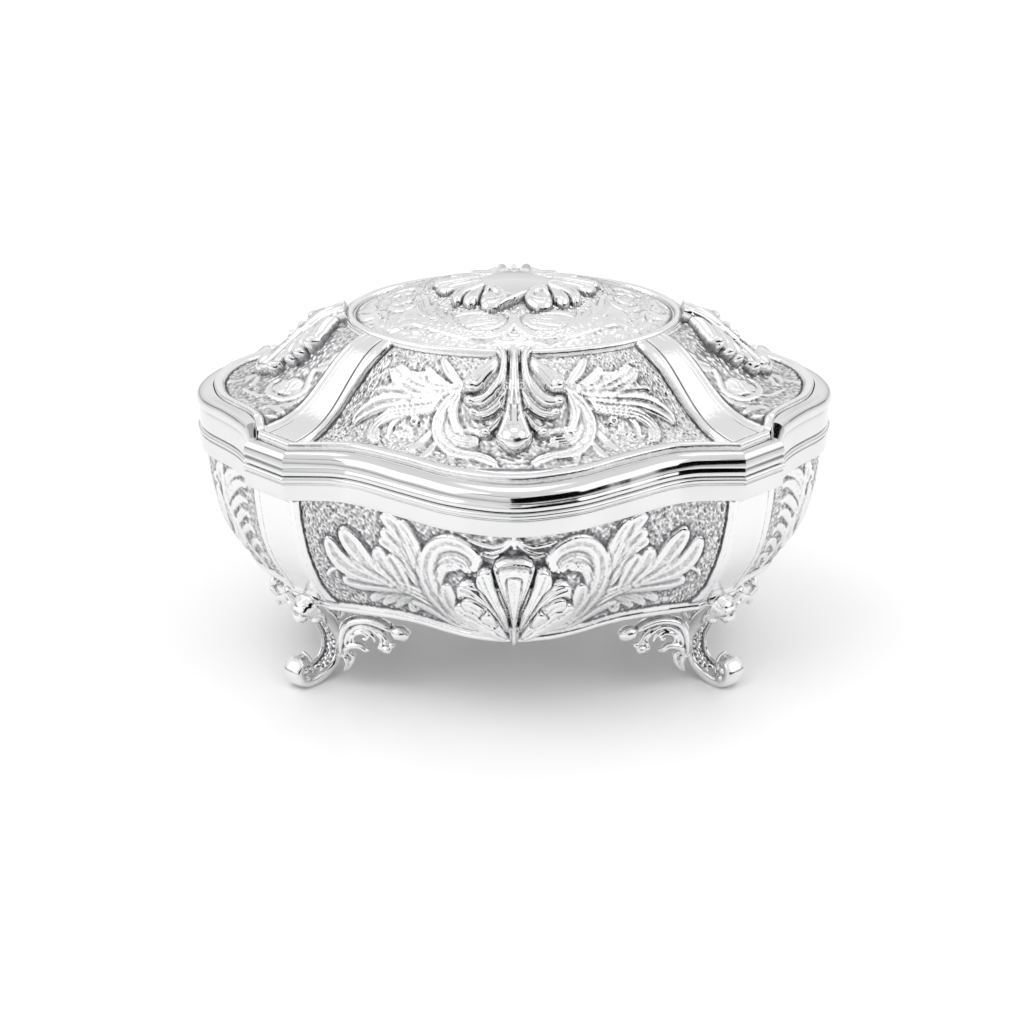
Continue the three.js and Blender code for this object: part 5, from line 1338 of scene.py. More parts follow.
# painted shade: the hollows are darkened (patina with painted shade), the low parts near each leaf's outline are
# darkened as painted shade at its foot, and the side walls fade to dark towards the ground as painted shadow under the
# leaves
t = np.concatenate([np.clip(tone_of(H, 3, 0.50) - 0.05 + 0.4 * (H < 0.6), 0, 1).ravel(), np.full(H.size, 0.8)])[used]
me = make_mesh("wreath", V, F, sharp=60, attrs={"patina_and_shade": t})
bm = bmesh.new()
bm.from_mesh(me)
bmesh.ops.remove_doubles(bm, verts=bm.verts, dist=1e-6)
bm.to_mesh(me)
bm.free()
add("cartouche_leaves", me, "lid", ORNAMENT, ["cartouche_wreath"])

# plaque: four drawn-in sides between four blunt points, a raised rim
na_, nk = 240, 26
w = np.linspace(0, 2 * np.pi, na_, endpoint=False)
quarter = [(0.0, 10.3), (0.12, 10.1), (0.30, 8.9), (0.52, 7.9), (0.80, 7.5), (1.08, 7.9), (1.30, 8.7), (1.47, 9.2), (math.pi / 2, 9.3)]
fold = np.abs(np.arctan2(np.abs(np.sin(w)), np.abs(np.cos(w))))
size_at = np.interp(fold, [q[0] for q in quarter], [q[1] for q in quarter])
size_at = np.convolve(np.r_[size_at[-4:], size_at, size_at[:4]], np.ones(9) / 9, "valid")
ex, ey = size_at * np.cos(w), size_at * np.sin(w)
rows = []
for k, z in [(1.0, -0.1), (1.0, 1.5), (0.985, 1.72), (0.965, 1.78), (0.945, 1.68), (0.93, 1.55)] + [(v, 1.58 + 0.25 * (1 - v)) for v in np.linspace(0.90, 0.06, nk)]:
    rows.append(np.stack([ex * k, ey * k, crown(ex * k, ey * k) + z], -1))
top = np.stack(rows)
V = np.concatenate([top.reshape(-1, 3), [[0, 0, crown(0, 0) - 0.1], [0, 0, crown(0, 0) + 1.84]]])
i, i2 = np.arange(na_), (np.arange(na_) + 1) % na_
F = [grid_faces(len(top), na_, True), np.stack([i, i2, np.full(na_, len(V) - 2)], -1), np.stack([(len(top) - 1) * na_ + i, (len(top) - 1) * na_ + i2, np.full(na_, len(V) - 1)], -1)]
me = make_mesh("plaque", V, F, sharp=50)
add("name_plaque_plate", me, "lid", POLISHED, ["name_plaque"])

# ------------------------------------------------------------------ castings built of bars, balls and ribbons
def onto(px, py, origin, normal, depth=0.0):
    """The point seen at a pixel on an upright plane through `origin` (mm), `depth` in front of it."""
    normal = np.asarray(normal, float)
    d = FWD + (px - 514) / FOCAL * np.array([1.0, 0, 0]) + (512 - py) / FOCAL * UP
    o = np.asarray(origin, float) + normal * depth
    return EYE + d * (((o - EYE) @ normal) / (d @ normal))


def bar(points, radii, side, flat=1.0, n=34, sides=12, open_ends=(True, True)):
    """A closed bar along 3-D points; `side` is the direction that the bar's depth is measured in, flat = depth / width."""
    P = spline(np.column_stack([np.asarray(points, float), radii]), n)
    P[:, 3] = np.maximum(P[:, 3], 0.08)
    c = P[:, :3]
    seg = np.linalg.norm(np.diff(c, axis=0), axis=1)
    d = np.r_[0, np.cumsum(seg)]
    total = d[-1]
    # rows closer together at the rounded ends
    u = np.r_[0.0, 0.12, 0.3, 0.55, 0.8]
    r0, r1 = min(P[0, 3], total * 0.3), min(P[-1, 3], total * 0.3)
    at = np.unique(np.r_[u * r0, np.linspace(r0, total - r1, n), total - u * r1])
    Q = np.stack([np.interp(at, d, P[:, k]) for k in range(4)], -1)
    f = np.sqrt(np.clip(1 - np.clip(1 - at / r0, 0, 1) ** 2, 0, 1)) * np.sqrt(np.clip(1 - np.clip(1 - (total - at) / r1, 0, 1) ** 2, 0, 1))
    T = np.gradient(Q[:, :3], at, axis=0)
    T /= np.linalg.norm(T, axis=1, keepdims=True) + 1e-12
    N = np.asarray(side, float)
    N = N[None] - T * (T @ N)[:, None]
    N /= np.linalg.norm(N, axis=1, keepdims=True) + 1e-12
    B = np.cross(T, N)
    w = np.linspace(0, 2 * np.pi, sides, endpoint=False)
    r = (Q[:, 3] * np.maximum(f, 0.04))[:, None, None]
    V = Q[:, None, :3] + r * (np.cos(w)[None, :, None] * B[:, None] + flat * np.sin(w)[None, :, None] * N[:, None])
    m = len(Q)
    V = np.concatenate([V.reshape(-1, 3), Q[:1, :3], Q[-1:, :3]])
    i, i2 = np.arange(sides), (np.arange(sides) + 1) % sides
    return V, [grid_faces(m, sides, True), np.stack([i, i2, np.full(sides, m * sides)], -1), np.stack([(m - 1) * sides + i, (m - 1) * sides + i2, np.full(sides, m * sides + 1)], -1)]


def egg(centre, r, axes=None, n=14, sides=20):
    """A closed ellipsoid; r = (rx, ry, rz) along the rows of `axes`."""
    r = np.broadcast_to(np.asarray(r, float), (3,))
    A = np.eye(3) if axes is None else np.asarray(axes, float)
    th = np.linspace(0, np.pi, n + 1)[1:-1]
    w = np.linspace(0, 2 * np.pi, sides, endpoint=False)
    X = np.stack([np.sin(th)[:, None] * np.cos(w)[None], np.sin(th)[:, None] * np.sin(w)[None], np.cos(th)[:, None] * np.ones((1, sides))], -1) * r
    V = np.concatenate([X.reshape(-1, 3), [[0, 0, r[2]], [0, 0, -r[2]]]]) @ A + np.asarray(centre, float)
    m = n - 1
    i, i2 = np.arange(sides), (np.arange(sides) + 1) % sides
    return V, [grid_faces(m, sides, True), np.stack([i, i2, np.full(sides, m * sides)], -1), np.stack([(m - 1) * sides + i, (m - 1) * sides + i2, np.full(sides, m * sides + 1)], -1)]


def joined(parts):
    V, F, off = [], [], 0
    for v, fs in parts:
        V.append(v)
        F += [np.asarray(f, int) + off for f in fs]
        off += len(v)
    return np.concatenate(V), F


def fused(name, parts, voxel=0.28, smooth=1, gain=4.2, sweeps=8):
    """One skin over overlapping bars and balls, with the hollows darkened in its colour attribute as patina with
    painted shade.
    """
    V, F = joined(parts)
    me = make_mesh(name + "_raw", V, F, sharp=None)
    ob = bpy.data.objects.new(name + "_raw", me)
    bpy.context.scene.collection.objects.link(ob)
    mod = ob.modifiers.new("skin", "REMESH")
    mod.mode = "VOXEL"
    mod.voxel_size = voxel * MM
    bpy.context.view_layer.update()
    out = bpy.data.meshes.new_from_object(ob.evaluated_get(bpy.context.evaluated_depsgraph_get()))
    bpy.data.objects.remove(ob)
    out.name = name
    co = np.zeros(len(out.vertices) * 3, np.float32)
    out.vertices.foreach_get("co", co)
    co = co.reshape(-1, 3).astype(float) / MM
    e = np.zeros(len(out.edges) * 2, np.int32)
    out.edges.foreach_get("vertices", e)
    e = e.reshape(-1, 2)
    deg = np.bincount(e.ravel(), minlength=len(co))[:, None]

    def around(x):
        s = np.zeros_like(x)
        for k in range(x.shape[1]):
            s[:, k] = np.bincount(e[:, 0], x[e[:, 1], k], len(x)) + np.bincount(e[:, 1], x[e[:, 0], k], len(x))
        return s / deg
    for _ in range(smooth):
        co = co + 0.5 * (around(co) - co)
        co = co - 0.48 * (around(co) - co)
    out.vertices.foreach_set("co", (co * MM).astype(np.float32).ravel())
    out.update()
    nr = np.zeros(len(co) * 3, np.float32)
    out.vertices.foreach_get("normal", nr)
    nr = nr.reshape(-1, 3)
    far = co.copy()
    for _ in range(sweeps):
        far = around(far)
    hollow = ((far - co) * nr).sum(1)
    # painted shade: the deeper a vertex lies in a hollow, the darker its colour (patina with painted shade)
    t = np.clip(0.30 + hollow * gain, 0, 1)
    a = out.attributes.new("patina_and_shade", "FLOAT", "POINT")
    a.data.foreach_set("value", t.astype(np.float32))
    out.polygons.foreach_set("use_smooth", np.ones(len(out.polygons), bool))
    return out


def flipped(me, name):
    """The mirror image of a mesh, left to right."""
    m2 = me.copy()
    m2.name = name
    co = np.zeros(len(m2.vertices) * 3, np.float32)
    m2.vertices.foreach_get("co", co)
    co[::3] *= -1
    m2.vertices.foreach_set("co", co)
    m2.flip_normals()
    m2.update()
    return m2


# ------------------------------------------------------------------ feet
F_MID = np.array([52.3, 23.3])
F_OUT = np.array([0.685, 0.729])
F_S = np.array([-0.729, 0.685])
OUT3, S3, Z3 = np.array([-0.685, -0.729, 0]), np.array([0.729, -0.685, 0]), np.array([0, 0, 1.0])


def leg(a, s, z):
    """A point of the front left foot: a outwards on the diagonal, s towards the front wing, z up."""
    a, s, z = np.broadcast_arrays(a, s, z)
    q = F_MID + np.multiply.outer(a, F_OUT) + np.multiply.outer(s, F_S)
    return np.concatenate([-q, np.asarray(z, float)[..., None]], -1)


face = np.array([(6.0, 20.4), (3.7, 20.2), (1.0, 17.9), (-1.7, 14.8), (-3.6, 10.9), (-3.7, 7.3), (-2.2, 4.7), (0.7, 3.3), (4.0, 2.4), (6.8, 2.5), (8.6, 3.6), (9.0, 5.4), (8.0, 6.6), (6.8, 6.2)])
rear = np.array([(8.4, 22.6), (4.6, 25.6), (-0.4, 21.4), (-3.9, 17.0), (-6.0, 11.9), (-5.9, 7.0), (-4.2, 3.1), (-0.8, 1.0), (3.4, 0.0), (7.2, 0.2), (10.3, 2.2), (11.1, 5.6), (8.6, 8.3), (5.6, 7.8)])
wide_at = np.array([2.4, 3.2, 3.35, 3.35, 3.35, 3.3, 3.2, 3.15, 3.15, 3.1, 3.0, 2.8, 2.5, 2.1])
n_leg = 150
mid_line = spline(np.column_stack([face, rear, wide_at]), n_leg)
section = [(-1.06, -0.80, 0), (-1.12, -0.50, 0), (-1.07, -0.18, 0.05), (-0.96, 0, 0.38), (-0.88, 0, 0.60), (-0.80, 0, 0.62), (-0.72, 0, 0.40), (-0.68, 0, 0.05), (-0.66, 0, -0.35), (-0.55, 0, -0.5), (-0.2, 0, -0.55),
           (0.2, 0, -0.55), (0.55, 0, -0.5), (0.66, 0, -0.35), (0.68, 0, 0.05), (0.72, 0, 0.40), (0.80, 0, 0.62), (0.88, 0, 0.60), (0.96, 0, 0.38), (1.07, -0.18, 0.05), (1.12, -0.50, 0), (1.06, -0.80, 0), (0.85, -1.0, 0), (0.40, -1.10, 0), (-0.40, -1.10, 0), (-0.85, -1.0, 0)]
V = []
for row in mid_line:
    fa, re, hw = row[0:2], row[2:4], row[4]
    th = fa - re
    nn = th / np.linalg.norm(th)
    pts = []
    for s, k, lift in section:
        az = fa + th * k + nn * lift
        pts.append(leg(az[0], s * hw, az[1]))
    V.append(pts)
V = np.array(V)
ns = len(section)
V = np.concatenate([V.reshape(-1, 3), V[0].mean(0)[None], V[-1].mean(0)[None]])
i, i2 = np.arange(ns), (np.arange(ns) + 1) % ns
ribbon = (V, [grid_faces(n_leg, ns, True), np.stack([i, i2, np.full(ns, n_leg * ns)], -1), np.stack([(n_leg - 1) * ns + i, (n_leg - 1) * ns + i2, np.full(ns, n_leg * ns + 1)], -1)])
parts = [ribbon]
LEG_AXES = np.stack([OUT3, S3, Z3])
# knob at the top of the scroll, the ball beside it and the toe's bulb with its rosette
parts.append(egg(leg(4.9, 0.2, 23.0), (3.3, 3.3, 2.7), LEG_AXES))
parts.append(egg(leg(5.6, -1.2, 20.0), (2.25, 2.3, 2.25), LEG_AXES, n=10, sides=9))
parts.append(bar([leg(6.4, -2.7, 20.6), leg(4.8, 0.6, 19.4)], [1.9, 1.8], Z3, n=14, sides=7))
parts.append(egg(leg(2.7, 1.6, 18.9), (1.45, 1.45, 1.5), LEG_AXES))
parts.append(egg(leg(8.8, -0.8, 4.8), (2.1, 2.95, 2.85), LEG_AXES))
parts.append(egg(leg(7.6, 2.3, 5.4), (1.0, 0.9, 1.0), LEG_AXES))
for k, (a, s, z, r) in enumerate([(6.4, 1.2, 7.2, 0.75), (5.3, 1.6, 5.9, 0.7), (5.0, 1.2, 4.3, 0.7), (6.0, 2.0, 3.5, 0.7), (7.3, 2.7, 3.3, 0.75), (5.2, -0.6, 5.0, 0.9), (6.1, -1.6, 7.6, 0.8), (4.4, 0.2, 3.2, 0.6)]):
    parts.append(egg(leg(a, s, z), r, n=8, sides=10))
parts.append(bar([leg(4.6, -2.2, 8.6), leg(4.2, -0.4, 7.4), (leg(4.3, 1.0, 5.2)), leg(4.6, 1.8, 3.0)], [0.4, 0.7, 0.75, 0.45], S3, n=20, sides=8))
parts.append(bar([leg(6.6, 0.2, 8.6), leg(5.8, 1.4, 6.6), leg(5.8, 2.2, 4.6)], [0.6, 0.75, 0.55], S3, n=16, sides=8))
# beads in the channel
along_leg = np.linalg.norm(np.diff(mid_line[:, :2], axis=0), axis=1).cumsum()
for k, d in enumerate(np.arange(3.4, 24.0, 1.35)):
    row = mid_line[min(int(np.searchsorted(along_leg, d)), n_leg - 1)]
    th = row[0:2] - row[2:4]
    nn = th / np.linalg.norm(th)
    c = row[0:2] - nn * 0.25
    parts.append(egg(leg(c[0], 0.25 * (-1) ** k, c[1]), 0.68 + 0.05 * math.sin(3.0 * k), n=8, sides=10))
    row = mid_line[min(int(np.searchsorted(along_leg, d + 0.66)), n_leg - 1)]
    th = row[0:2] - row[2:4]
    nn = th / np.linalg.norm(th)
    c = row[0:2] - nn * 0.35
    for sgn in (-1, 1):
        parts.append(egg(leg(c[0], sgn * 1.15, c[1]), 0.46, n=6, sides=8))
# boss for the screw, behind the scroll
parts.append(bar([leg(-6.8, 0, 14.8), leg(-6.8, 0, 22.3)], [3.0, 3.0], S3, n=8, sides=16))
parts.append(bar([leg(-6.4, 0, 18.8), leg(-2.2, 0, 19.2), leg(0.6, 0, 20.4)], [2.4, 2.5, 2.2], Z3, n=10, sides=12))

# front wing, drawn where it is seen
W_O, W_N = np.array([-47.3, -28.0, 0.0]), np.array([-0.320, -0.947, 0.0])
ALONG3 = np.array([0.947, -0.320, 0.0])


def wing_strands():
    """Strands of the leaf wing as (points, radii, flat): points are (along, depth, z) from the leg's corner."""
    def q(X, Y, depth=0.0):
        p = onto(240 + X / 6.533, 560 + Y / 6.533, W_O, W_N, depth)
        r = p - W_O
        return (float(r @ ALONG3), depth, float(p[2]))
    k = 1 / (6.533 * 3.67)
    out = []

    def strand(pts, radii, flat=1.2, depth=0.0):
        out.append(([q(p[0], p[1], p[2] if len(p) > 2 else depth) for p in pts], [r * k * (1.12 if flat > 0.5 else 1.0) for r in radii], flat))
    strand([(650, 640), (668, 560), (700, 490), (770, 440), (850, 430), (930, 480), (960, 540)], [30, 44, 48, 44, 40, 34, 20], 0.30, -0.3)
    strand([(656, 470), (700, 410), (800, 380), (930, 400), (1010, 440)], [24, 36, 36, 34, 20], 0.30, -0.6)
    strand([(660, 610), (664, 540), (676, 470), (706, 420), (760, 396), (830, 392), (900, 410), (960, 440), (985, 470)], [16, 22, 24, 24, 24, 24, 24, 22, 12], 1.5, 0.2)
    strand([(690, 560), (702, 500), (735, 452), (790, 430), (850, 440), (900, 480), (930, 530)], [12, 14, 15, 15, 15, 14, 9], 1.4, 0.7)
    strand([(812, 424), (870, 440), (925, 480), (965, 530), (985, 560)], [10, 14, 15, 14, 9], 1.3, 0.5)
    strand([(716, 540), (732, 490), (775, 460), (826, 462), (866, 496), (886, 540)], [9, 12, 13, 13, 12, 7], 1.3, 1.1)
    strand([(742, 540), (742, 500), (770, 478), (812, 480), (834, 502), (820, 520), (796, 508)], [9, 12, 13, 12, 11, 10, 8], 1.3, 1.4)
    strand([(684, 620), (700, 575), (742, 556), (790, 562), (816, 588), (812, 604)], [14, 20, 22, 21, 16, 9], 1.3, 1.0)
    strand([(668, 560), (700, 590), (730, 612), (742, 640), (722, 684), (692, 724)], [14, 20, 19, 16, 12, 5], 1.2, 0.0)
    strand([(664, 600), (690, 640), (694, 680), (676, 726)], [16, 17, 13, 6], 1.3, 0.6)
    strand([(930, 520), (925, 556), (945, 592), (975, 600)], [14, 17, 17, 12], 1.2, 0.6)
    balls = [(*q(836, 588, 1.2), 15 * k, 1), (*q(962, 584, 0.8), 32 * k, 1), (*q(914, 572, 0.9), 19 * k, 1), (*q(992, 556, 0.5), 24 * k, 1), (*q(948, 546, 1.5), 15 * k, 1), (*q(1042, 476, 0.4), 56 * k, 1), (*q(1062, 486, 0.0), 52 * k, 1)]
    return out, balls


strands, balls = wing_strands()


def put_wing(parts, origin, along, normal, k, z_top=22.2):
    """The wing's strands along another line: k is its size against the front one."""
    o, u, v = np.asarray(origin, float), np.asarray(along, float), np.asarray(normal, float)
    for pts, radii, flat in (strands if k > 0.9 else strands[:8] + strands[10:]):
        P = [o + u * (a * k) + v * d * k + Z3 * (z_top - (z_top - z) * (0.25 + 0.75 * k)) for a, d, z in pts]
        parts.append(bar(P, [r * (0.3 + 0.7 * k) for r in radii], v, flat, n=30, sides=10))
    for a, d, z, r, _ in balls:
        parts.append(egg(o + u * (a * k) + v * d * k + Z3 * (z_top - (z_top - z) * (0.25 + 0.75 * k)), r * (0.3 + 0.7 * k) * np.array([1.1, 1.0, 0.92]), np.stack([u, v, Z3]), n=10, sides=14))


put_wing(parts, W_O, ALONG3, W_N, 1.0)
E_O, E_N, E_A = np.array([-57.3, -18.6, 0.0]), np.array([-0.926, -0.378, 0.0]), np.array([-0.378, 0.926, 0.0])
put_wing(parts, E_O, E_A, E_N, 0.52)
# curls of the end wing that climb over the body's edge
for pts, radii in (([(292, 606), (289, 600), (283, 597), (278, 600), (280, 603.5)], [0.7, 1.0, 1.0, 0.9, 0.6]), ([(286, 602), (279, 596), (274, 590), (273, 584), (277, 582)], [0.6, 0.9, 1.0, 0.9, 0.5]),
                   ([(300, 606), (294, 600), (290, 596), (284, 594)], [0.8, 1.1, 0.9, 0.5])):
    parts.append(bar([onto(x, y, E_O, E_N, 1.6) for x, y in pts], radii, E_N, 1.1, n=20, sides=10))
foot_left = fused("foot_casting_left", parts, 0.27)
foot_right = flipped(foot_left, "foot_casting_right")
print("foot faces", len(foot_left.polygons))
add("foot_scroll_front_left", foot_left, "box", ORNAMENT, ["foot_front_left"])
add("foot_scroll_back_right", foot_left, "box", ORNAMENT, ["foot_back_right"], HALF_TURN)
add("foot_scroll_front_right", foot_right, "box", ORNAMENT, ["foot_front_right"])
add("foot_scroll_back_left", foot_right, "box", ORNAMENT, ["foot_back_left"], HALF_TURN)


# ------------------------------------------------------------------ velvet inside
SOFT = spread(n_front=110, n_corner=9, n_end=40)
CLOTH = SOFT.seg, SOFT.u


def cloth_loop(r, dz):
    """The body's inside line with the notches beside the canted corners passed straight."""
    a = loft(SOFT, SEAM, FOOT, [r], R_BODY, [dz])[0]
    b = loft(SOFT, SEAM, FOOT, [r + 2.2], R_BODY, [dz])[0]
    c0 = loft(Cols(np.full(len(SOFT), 1), np.ones(len(SOFT)), SOFT.sx, SOFT.sy), SEAM, FOOT, [r + 2.2], R_BODY, [dz])[0]
    e0 = loft(Cols(np.full(len(SOFT), 4), np.zeros(len(SOFT)), SOFT.sx, SOFT.sy), SEAM, FOOT, [r + 2.2], R_BODY, [dz])[0]
    seg, u = CLOTH
    f = np.where(seg == 2, 0.5 * u, 0.5 + 0.5 * u)[:, None]
    b = np.where(((seg == 2) | (seg == 3))[:, None], c0 + (e0 - c0) * f, b)
    w = np.where(seg == 1, smoothstep(u, 0.3, 1.0), np.where(seg == 4, 1 - smoothstep(u, 0.0, 0.2), np.where((seg == 2) | (seg == 3), 1.0, 0.0)))[:, None]
    p = a * (1 - w) + b * w
    for _ in range(3):
        p = 0.25 * np.roll(p, 1, 0) + 0.5 * p + 0.25 * np.roll(p, -1, 0)
    return p


def closed_stack(rows, low=None, high=None):
    """Loops joined in order; ends closed at the points low and high, or to each other."""
    rows = np.stack(rows)
    m, n = rows.shape[:2]
    V = rows.reshape(-1, 3)
    i, i2 = np.arange(n), (np.arange(n) + 1) % n
    F = [grid_faces(m, n, True)]
    if low is None:
        F.append(np.stack([(m - 1) * n + i, (m - 1) * n + i2, i2, i], -1))
    else:
        V = np.concatenate([V, [low, high]])
        F += [np.stack([i, i2, np.full(n, m * n)], -1), np.stack([(m - 1) * n + i, (m - 1) * n + i2, np.full(n, m * n + 1)], -1)]
    return V, F


seam_run = np.r_[0, np.cumsum(np.linalg.norm(np.diff(cloth_loop(6.0, -10.0)[:, :2], axis=0), axis=1))]
whole_run = seam_run[-1] + 0.5


def soft_wave(run, count, phase=0.0):
    return np.sin(2 * np.pi * count * run / whole_run + phase)


# wall lining: padded cloth with shallow vertical channels and a rolled hem
out_r = cubic([-34.4, -28.6, -20.0, -3.0], [13.15, 9.35, 6.55, 5.45])
ss = np.linspace(0, 1, 34)
outer, inner = [], []
for s_ in ss:
    z = -34.4 + 31.4 * s_
    outer.append(cloth_loop(float(np.interp(z, [-34.4, -28.6, -20.0, -3.0], [13.15, 9.35, 6.55, 5.45])), z))
    puff = np.sqrt(np.clip(1 - (2 * s_ - 1) ** 6, 0, 1))
    hem = 0.35 * math.exp(-((s_ - 0.965) / 0.022) ** 2) - 0.30 * math.exp(-((s_ - 0.93) / 0.012) ** 2)
    p = cloth_loop(float(np.interp(z, [-34.4, -28.6, -20.0, -3.0], [13.15, 9.35, 6.55, 5.45])) + 0.55 + 0.65 * puff + hem, z)
    q = np.roll(p, -1, 0) - np.roll(p, 1, 0)
    nin = np.stack([-q[:, 1], q[:, 0], np.zeros(len(q))], -1)
    nin /= np.linalg.norm(nin, axis=1, keepdims=True)
    channel = 0.22 - 0.42 * np.exp(-(soft_wave(seam_run, 20) * 0.5 / 0.11) ** 2) + 0.08 * soft_wave(seam_run, 47, 3.0 * s_)
    inner.append(p + nin * (channel * puff * (1 if s_ < 0.92 else 0.25))[:, None])
V, F = closed_stack(outer + inner[::-1])
piece = add("side_lining_padding", make_mesh("side_padding", V, F, sharp=60), "box", VELVET, ["side_lining"])

# floor cushion: rolled edge, crowned top, diamond stitching
rows = [cloth_loop(r, z) for r, z in ((18.2, -38.38), (17.1, -38.2), (16.6, -37.6), (15.9, -36.6), (15.1, -35.5), (14.7, -34.9), (15.0, -34.4), (15.9, -34.15), (17.2, -34.05))]
edge_loop = cloth_loop(17.2, -34.05)
for k in np.linspace(0.985, 0.02, 72):
    p = edge_loop.copy()
    p[:, :2] *= k
    x, y = p[:, 0], p[:, 1]
    u, v = (x + 1.35 * y) / 17.0, (x - 1.35 * y) / 17.0
    near = np.minimum(np.abs(u - np.round(u)), np.abs(v - np.round(v))) * 17.0 / 1.68
    stitch = -0.75 * np.exp(-(near / 0.9) ** 2) * smoothstep(1 - k, 0.03, 0.10)
    p[:, 2] += 1.25 * (1 - k ** 2.6) + 0.55 * (np.abs(np.sin(np.pi * u)) * np.abs(np.sin(np.pi * v))) ** 0.6 * smoothstep(1 - k, 0.03, 0.12) + stitch \
        + 0.05 * np.sin(x * 0.9 + 1.3 * np.sin(y * 0.7)) + 0.35 * math.exp(-((k - 0.965) / 0.02) ** 2)
    rows.append(p)
V, F = closed_stack(rows, [0, 0, SEAM_Z - 38.38], [0, 0, SEAM_Z - 34.25 + 1.6])
piece = add("base_cushion", make_mesh("base_cushion", V, F, sharp=60), "box", VELVET, ["base_pad"])

# lid lining: gathered towards a covered button
LID_IN, OVAL_IN = SOFT.at(LID), SOFT.at(OVAL)


def lid_under(t, k, drop):
    xy = LID_IN * (1 - t) + OVAL_IN * t
    xy = xy * (1 - k) + OVAL_IN * k
    z = SEAM_Z + LID_Z0 + (OVAL_RISE - LID_Z0) * rise(t) - drop + END_RAISE * SOFT.skin_raised() * (1 - t) ** 2
    p = np.column_stack([xy, z])
    for _ in range(4):
        p = 0.25 * np.roll(p, 1, 0) + 0.5 * p + 0.25 * np.roll(p, -1, 0)
    return p


def oval_under(k, z):
    return np.column_stack([OVAL_IN * k, np.full(len(SOFT), SEAM_Z + OVAL_RISE + z)])


upper = [oval_under(k, z) for k, z in ((0.05, -2.5), (0.3, -2.6), (0.8, -3.7))] + [lid_under(t, 0.07, 2.5) for t in (0.8, 0.6, 0.4, 0.2, 0.05)]
roll = [lid_under(0.03, 0.075, 2.9), lid_under(0.015, 0.085, 3.5), lid_under(0.015, 0.10, 4.2), lid_under(0.03, 0.12, 4.8)]
lower = []
for t in np.linspace(0.05, 0.86, 32):
    lower.append(lid_under(t, 0.13, 5.0))
z_last = lower[-1][:, 2].mean() - SEAM_Z - OVAL_RISE
for k in np.linspace(0.90, 0.05, 28):
    f = (0.90 - k) / 0.85
    lower.append(oval_under(k, z_last + (-4.6 - z_last) * (1 - (1 - f) ** 1.6)))
turn = np.unwrap(np.arctan2(OVAL_IN[:, 1] / OVAL_B, OVAL_IN[:, 0] / OVAL_A))
n_low = len(lower)
for j, p in enumerate(lower):
    f = j / (n_low - 1)
    fade = smoothstep(f, 0.0, 0.10) * (1 - 0.65 * smoothstep(f, 0.75, 1.0))
    folds = np.abs(np.sin(22 * turn + 0.5 * np.sin(5 * turn) + 0.6 * f)) ** 0.7
    p[:, 2] -= 0.85 * (folds - 0.35) * fade - 0.12 * np.sin(61 * turn + 4 * f) * fade
V, F = closed_stack(upper + roll + lower, [0, 0, SEAM_Z + OVAL_RISE - 2.4], [0, 0, lower[-1][:, 2].mean()])
piece = add("lid_lining_padding", make_mesh("lid_padding", V, F, sharp=60), "lid", VELVET, ["lid_lining"])
V, F = egg((0, 0, lower[-1][:, 2].mean() + 0.1), (4.4, 4.4, 2.0), n=20, sides=40)
add("lid_lining_button", make_mesh("lid_button", V, F, sharp=60), "lid", VELVET, ["lid_lining"])


# ------------------------------------------------------------------ floor, light
for o in frame["nodes"].values():
    slot_name = o.get("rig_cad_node")
    is_steel = "screw" in slot_name or slot_name == "hinge_pin"
    is_velvet = "lining" in slot_name or slot_name == "base_pad"
    o.data.materials.clear()
    o.data.materials.append(STEEL if is_steel else VELVET if is_velvet else POLISHED)

m, nt, b = material("floor")
co = node(nt, "ShaderNodeTexCoord").outputs["Object"]
n1 = node(nt, "ShaderNodeTexNoise", {"Vector": co, "Scale": 3.0, "Detail": 3.0}).outputs[0]
nt.links.new(ramp(nt, n1, [(0.3, (0.93, 0.93, 0.93)), (0.7, (0.95, 0.95, 0.95))]), b.inputs["Base Color"])
b.inputs["Roughness"].default_value = 0.22
b.inputs["IOR"].default_value = 1.35
me = bpy.data.meshes.new("floor")
me.from_pydata([(-6, -6, 0), (6, -6, 0), (6, 6, 0), (-6, 6, 0)], [], [(0, 1, 2, 3)])
floor = bpy.data.objects.new("floor", me)
me.materials.append(m)
bpy.context.scene.collection.objects.link(floor)


def area(name, loc, target, size, power, size_y=None):
    d = bpy.data.lights.new(name, "AREA")
    d.shape = "RECTANGLE"
    d.size, d.size_y = size, size_y or size
    d.energy = power
    o = bpy.data.objects.new(name, d)
    o.location = loc
    o.rotation_euler = (Vector(target) - Vector(loc)).to_track_quat("-Z", "Y").to_euler()
    bpy.context.scene.collection.objects.link(o)
    return o


def unseen(o):
    """A light that the metal doesn't mirror."""
    o.visible_glossy = False
    return o


unseen(area("key", (-0.5, -0.35, 1.2), (0, 0, 0.0), 0.9, 3.7))
unseen(area("fill", (0.7, -0.4, 0.9), (0, 0, 0.0), 0.9, 1.75))
d = bpy.data.lights.new("sky", "SUN")
d.energy, d.angle = 0.278, math.radians(120)
sun = bpy.data.objects.new("sky", d)
bpy.context.scene.collection.objects.link(sun)
unseen(sun)


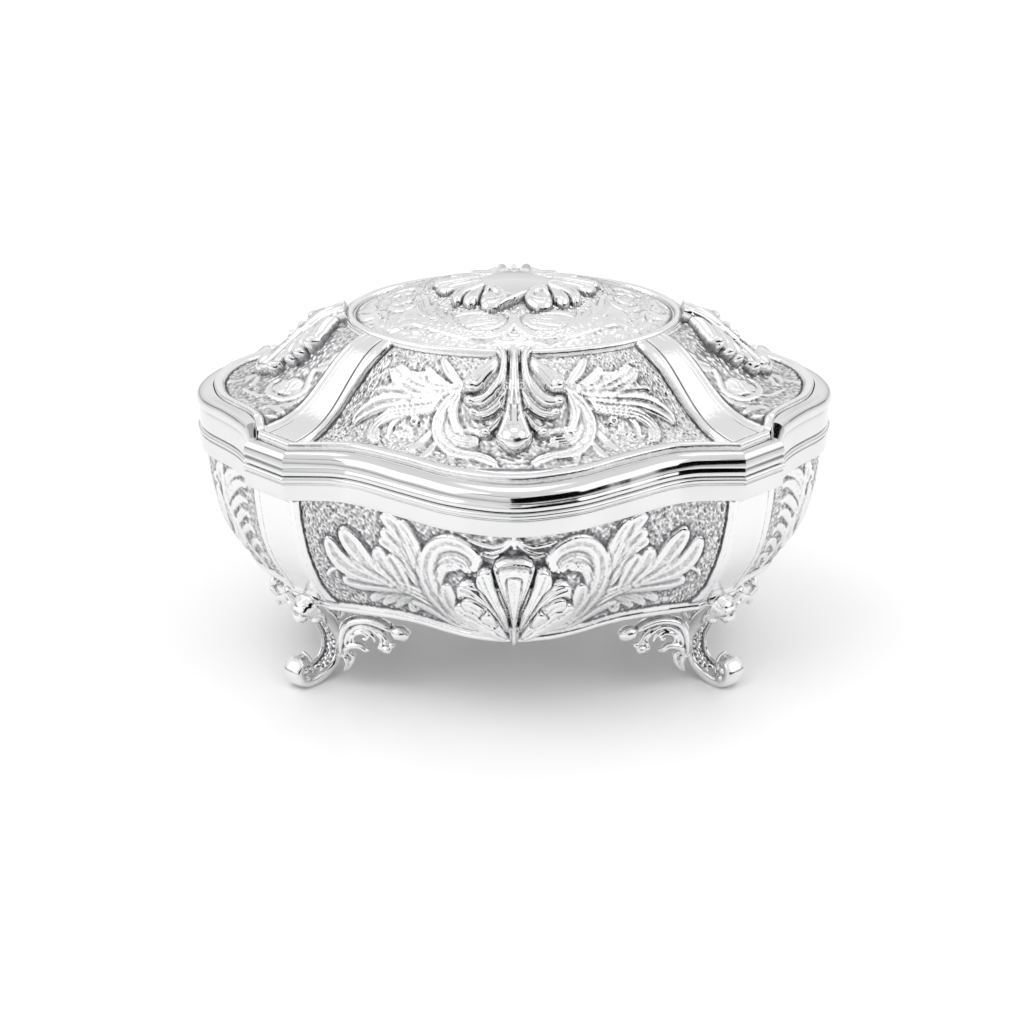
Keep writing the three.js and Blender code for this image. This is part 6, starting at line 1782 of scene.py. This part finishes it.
def card(name, centre, target, size, size_y, radiance):
    """A panel that only the metal sees."""
    m, nt, b = material(name)
    b.inputs["Base Color"].default_value = (0.0, 0.0, 0.0, 1)
    b.inputs["Roughness"].default_value = 1.0
    b.inputs["Specular IOR Level"].default_value = 0.0
    b.inputs["Emission Color"].default_value = (1, 1, 1, 1)
    b.inputs["Emission Strength"].default_value = radiance
    me = bpy.data.meshes.new(name)
    me.from_pydata([(-size / 2, -size_y / 2, 0), (size / 2, -size_y / 2, 0), (size / 2, size_y / 2, 0), (-size / 2, size_y / 2, 0)], [], [(0, 1, 2, 3)])
    me.materials.append(m)
    o = bpy.data.objects.new(name, me)
    bpy.context.scene.collection.objects.link(o)
    o.location = centre
    o.rotation_euler = (Vector(target) - Vector(centre)).to_track_quat("-Z", "Y").to_euler()
    o.visible_camera = o.visible_shadow = o.visible_diffuse = o.visible_transmission = False
    return o


C = (0, 0, 0.06)
card("panel_left", (-1.3, -0.45, 0.95), C, 1.7, 1.3, 1.58)
card("panel_right", (1.35, -0.35, 0.95), C, 1.5, 1.2, 1.42)
card("panel_top", (0.0, 0.1, 1.6), C, 1.0, 0.9, 1.42)
card("strip_dark_front", (1.02, -1.6, 0.38), C, 2.76, 0.9, 0.0)
card("strip_grey_front", (-0.5, -1.55, 0.95), C, 1.6, 0.2, 0.4)
card("strip_dark_left", (-1.7, 0.25, 0.15), C, 1.5, 0.20, 0.35)
card("strip_dark_right", (1.7, 0.25, 0.15), C, 1.5, 0.20, 0.30)

world = bpy.data.worlds.new("world")
bpy.context.scene.world = world
world.use_nodes = True
wn = world.node_tree
wn.nodes.clear()
out = wn.nodes.new("ShaderNodeOutputWorld")
bgc = node(wn, "ShaderNodeBackground", {"Color": (1, 1, 1, 1), "Strength": 1.0})
co = node(wn, "ShaderNodeTexCoord").outputs["Generated"]
sep = node(wn, "ShaderNodeSeparateXYZ", {0: co})
grad = ramp(wn, node(wn, "ShaderNodeMapRange", {"Value": sep.outputs[2], "From Min": -0.2, "From Max": 1.0}).outputs[0],
            [(0.0, (0.45, 0.45, 0.455)), (0.17, (0.40, 0.40, 0.405)), (0.26, (0.82, 0.82, 0.822)), (0.50, (1.02, 1.02, 1.02)), (0.75, (0.86, 0.86, 0.862)), (1.0, (0.95, 0.95, 0.95))])
bgl = node(wn, "ShaderNodeBackground", {"Color": grad, "Strength": 1.0})
lp = node(wn, "ShaderNodeLightPath")
mixw = node(wn, "ShaderNodeMixShader", {0: lp.outputs["Is Camera Ray"], 1: bgl.outputs[0], 2: bgc.outputs[0]})
wn.links.new(mixw.outputs[0], out.inputs[0])
bpy.context.scene.view_settings.view_transform = "Standard"
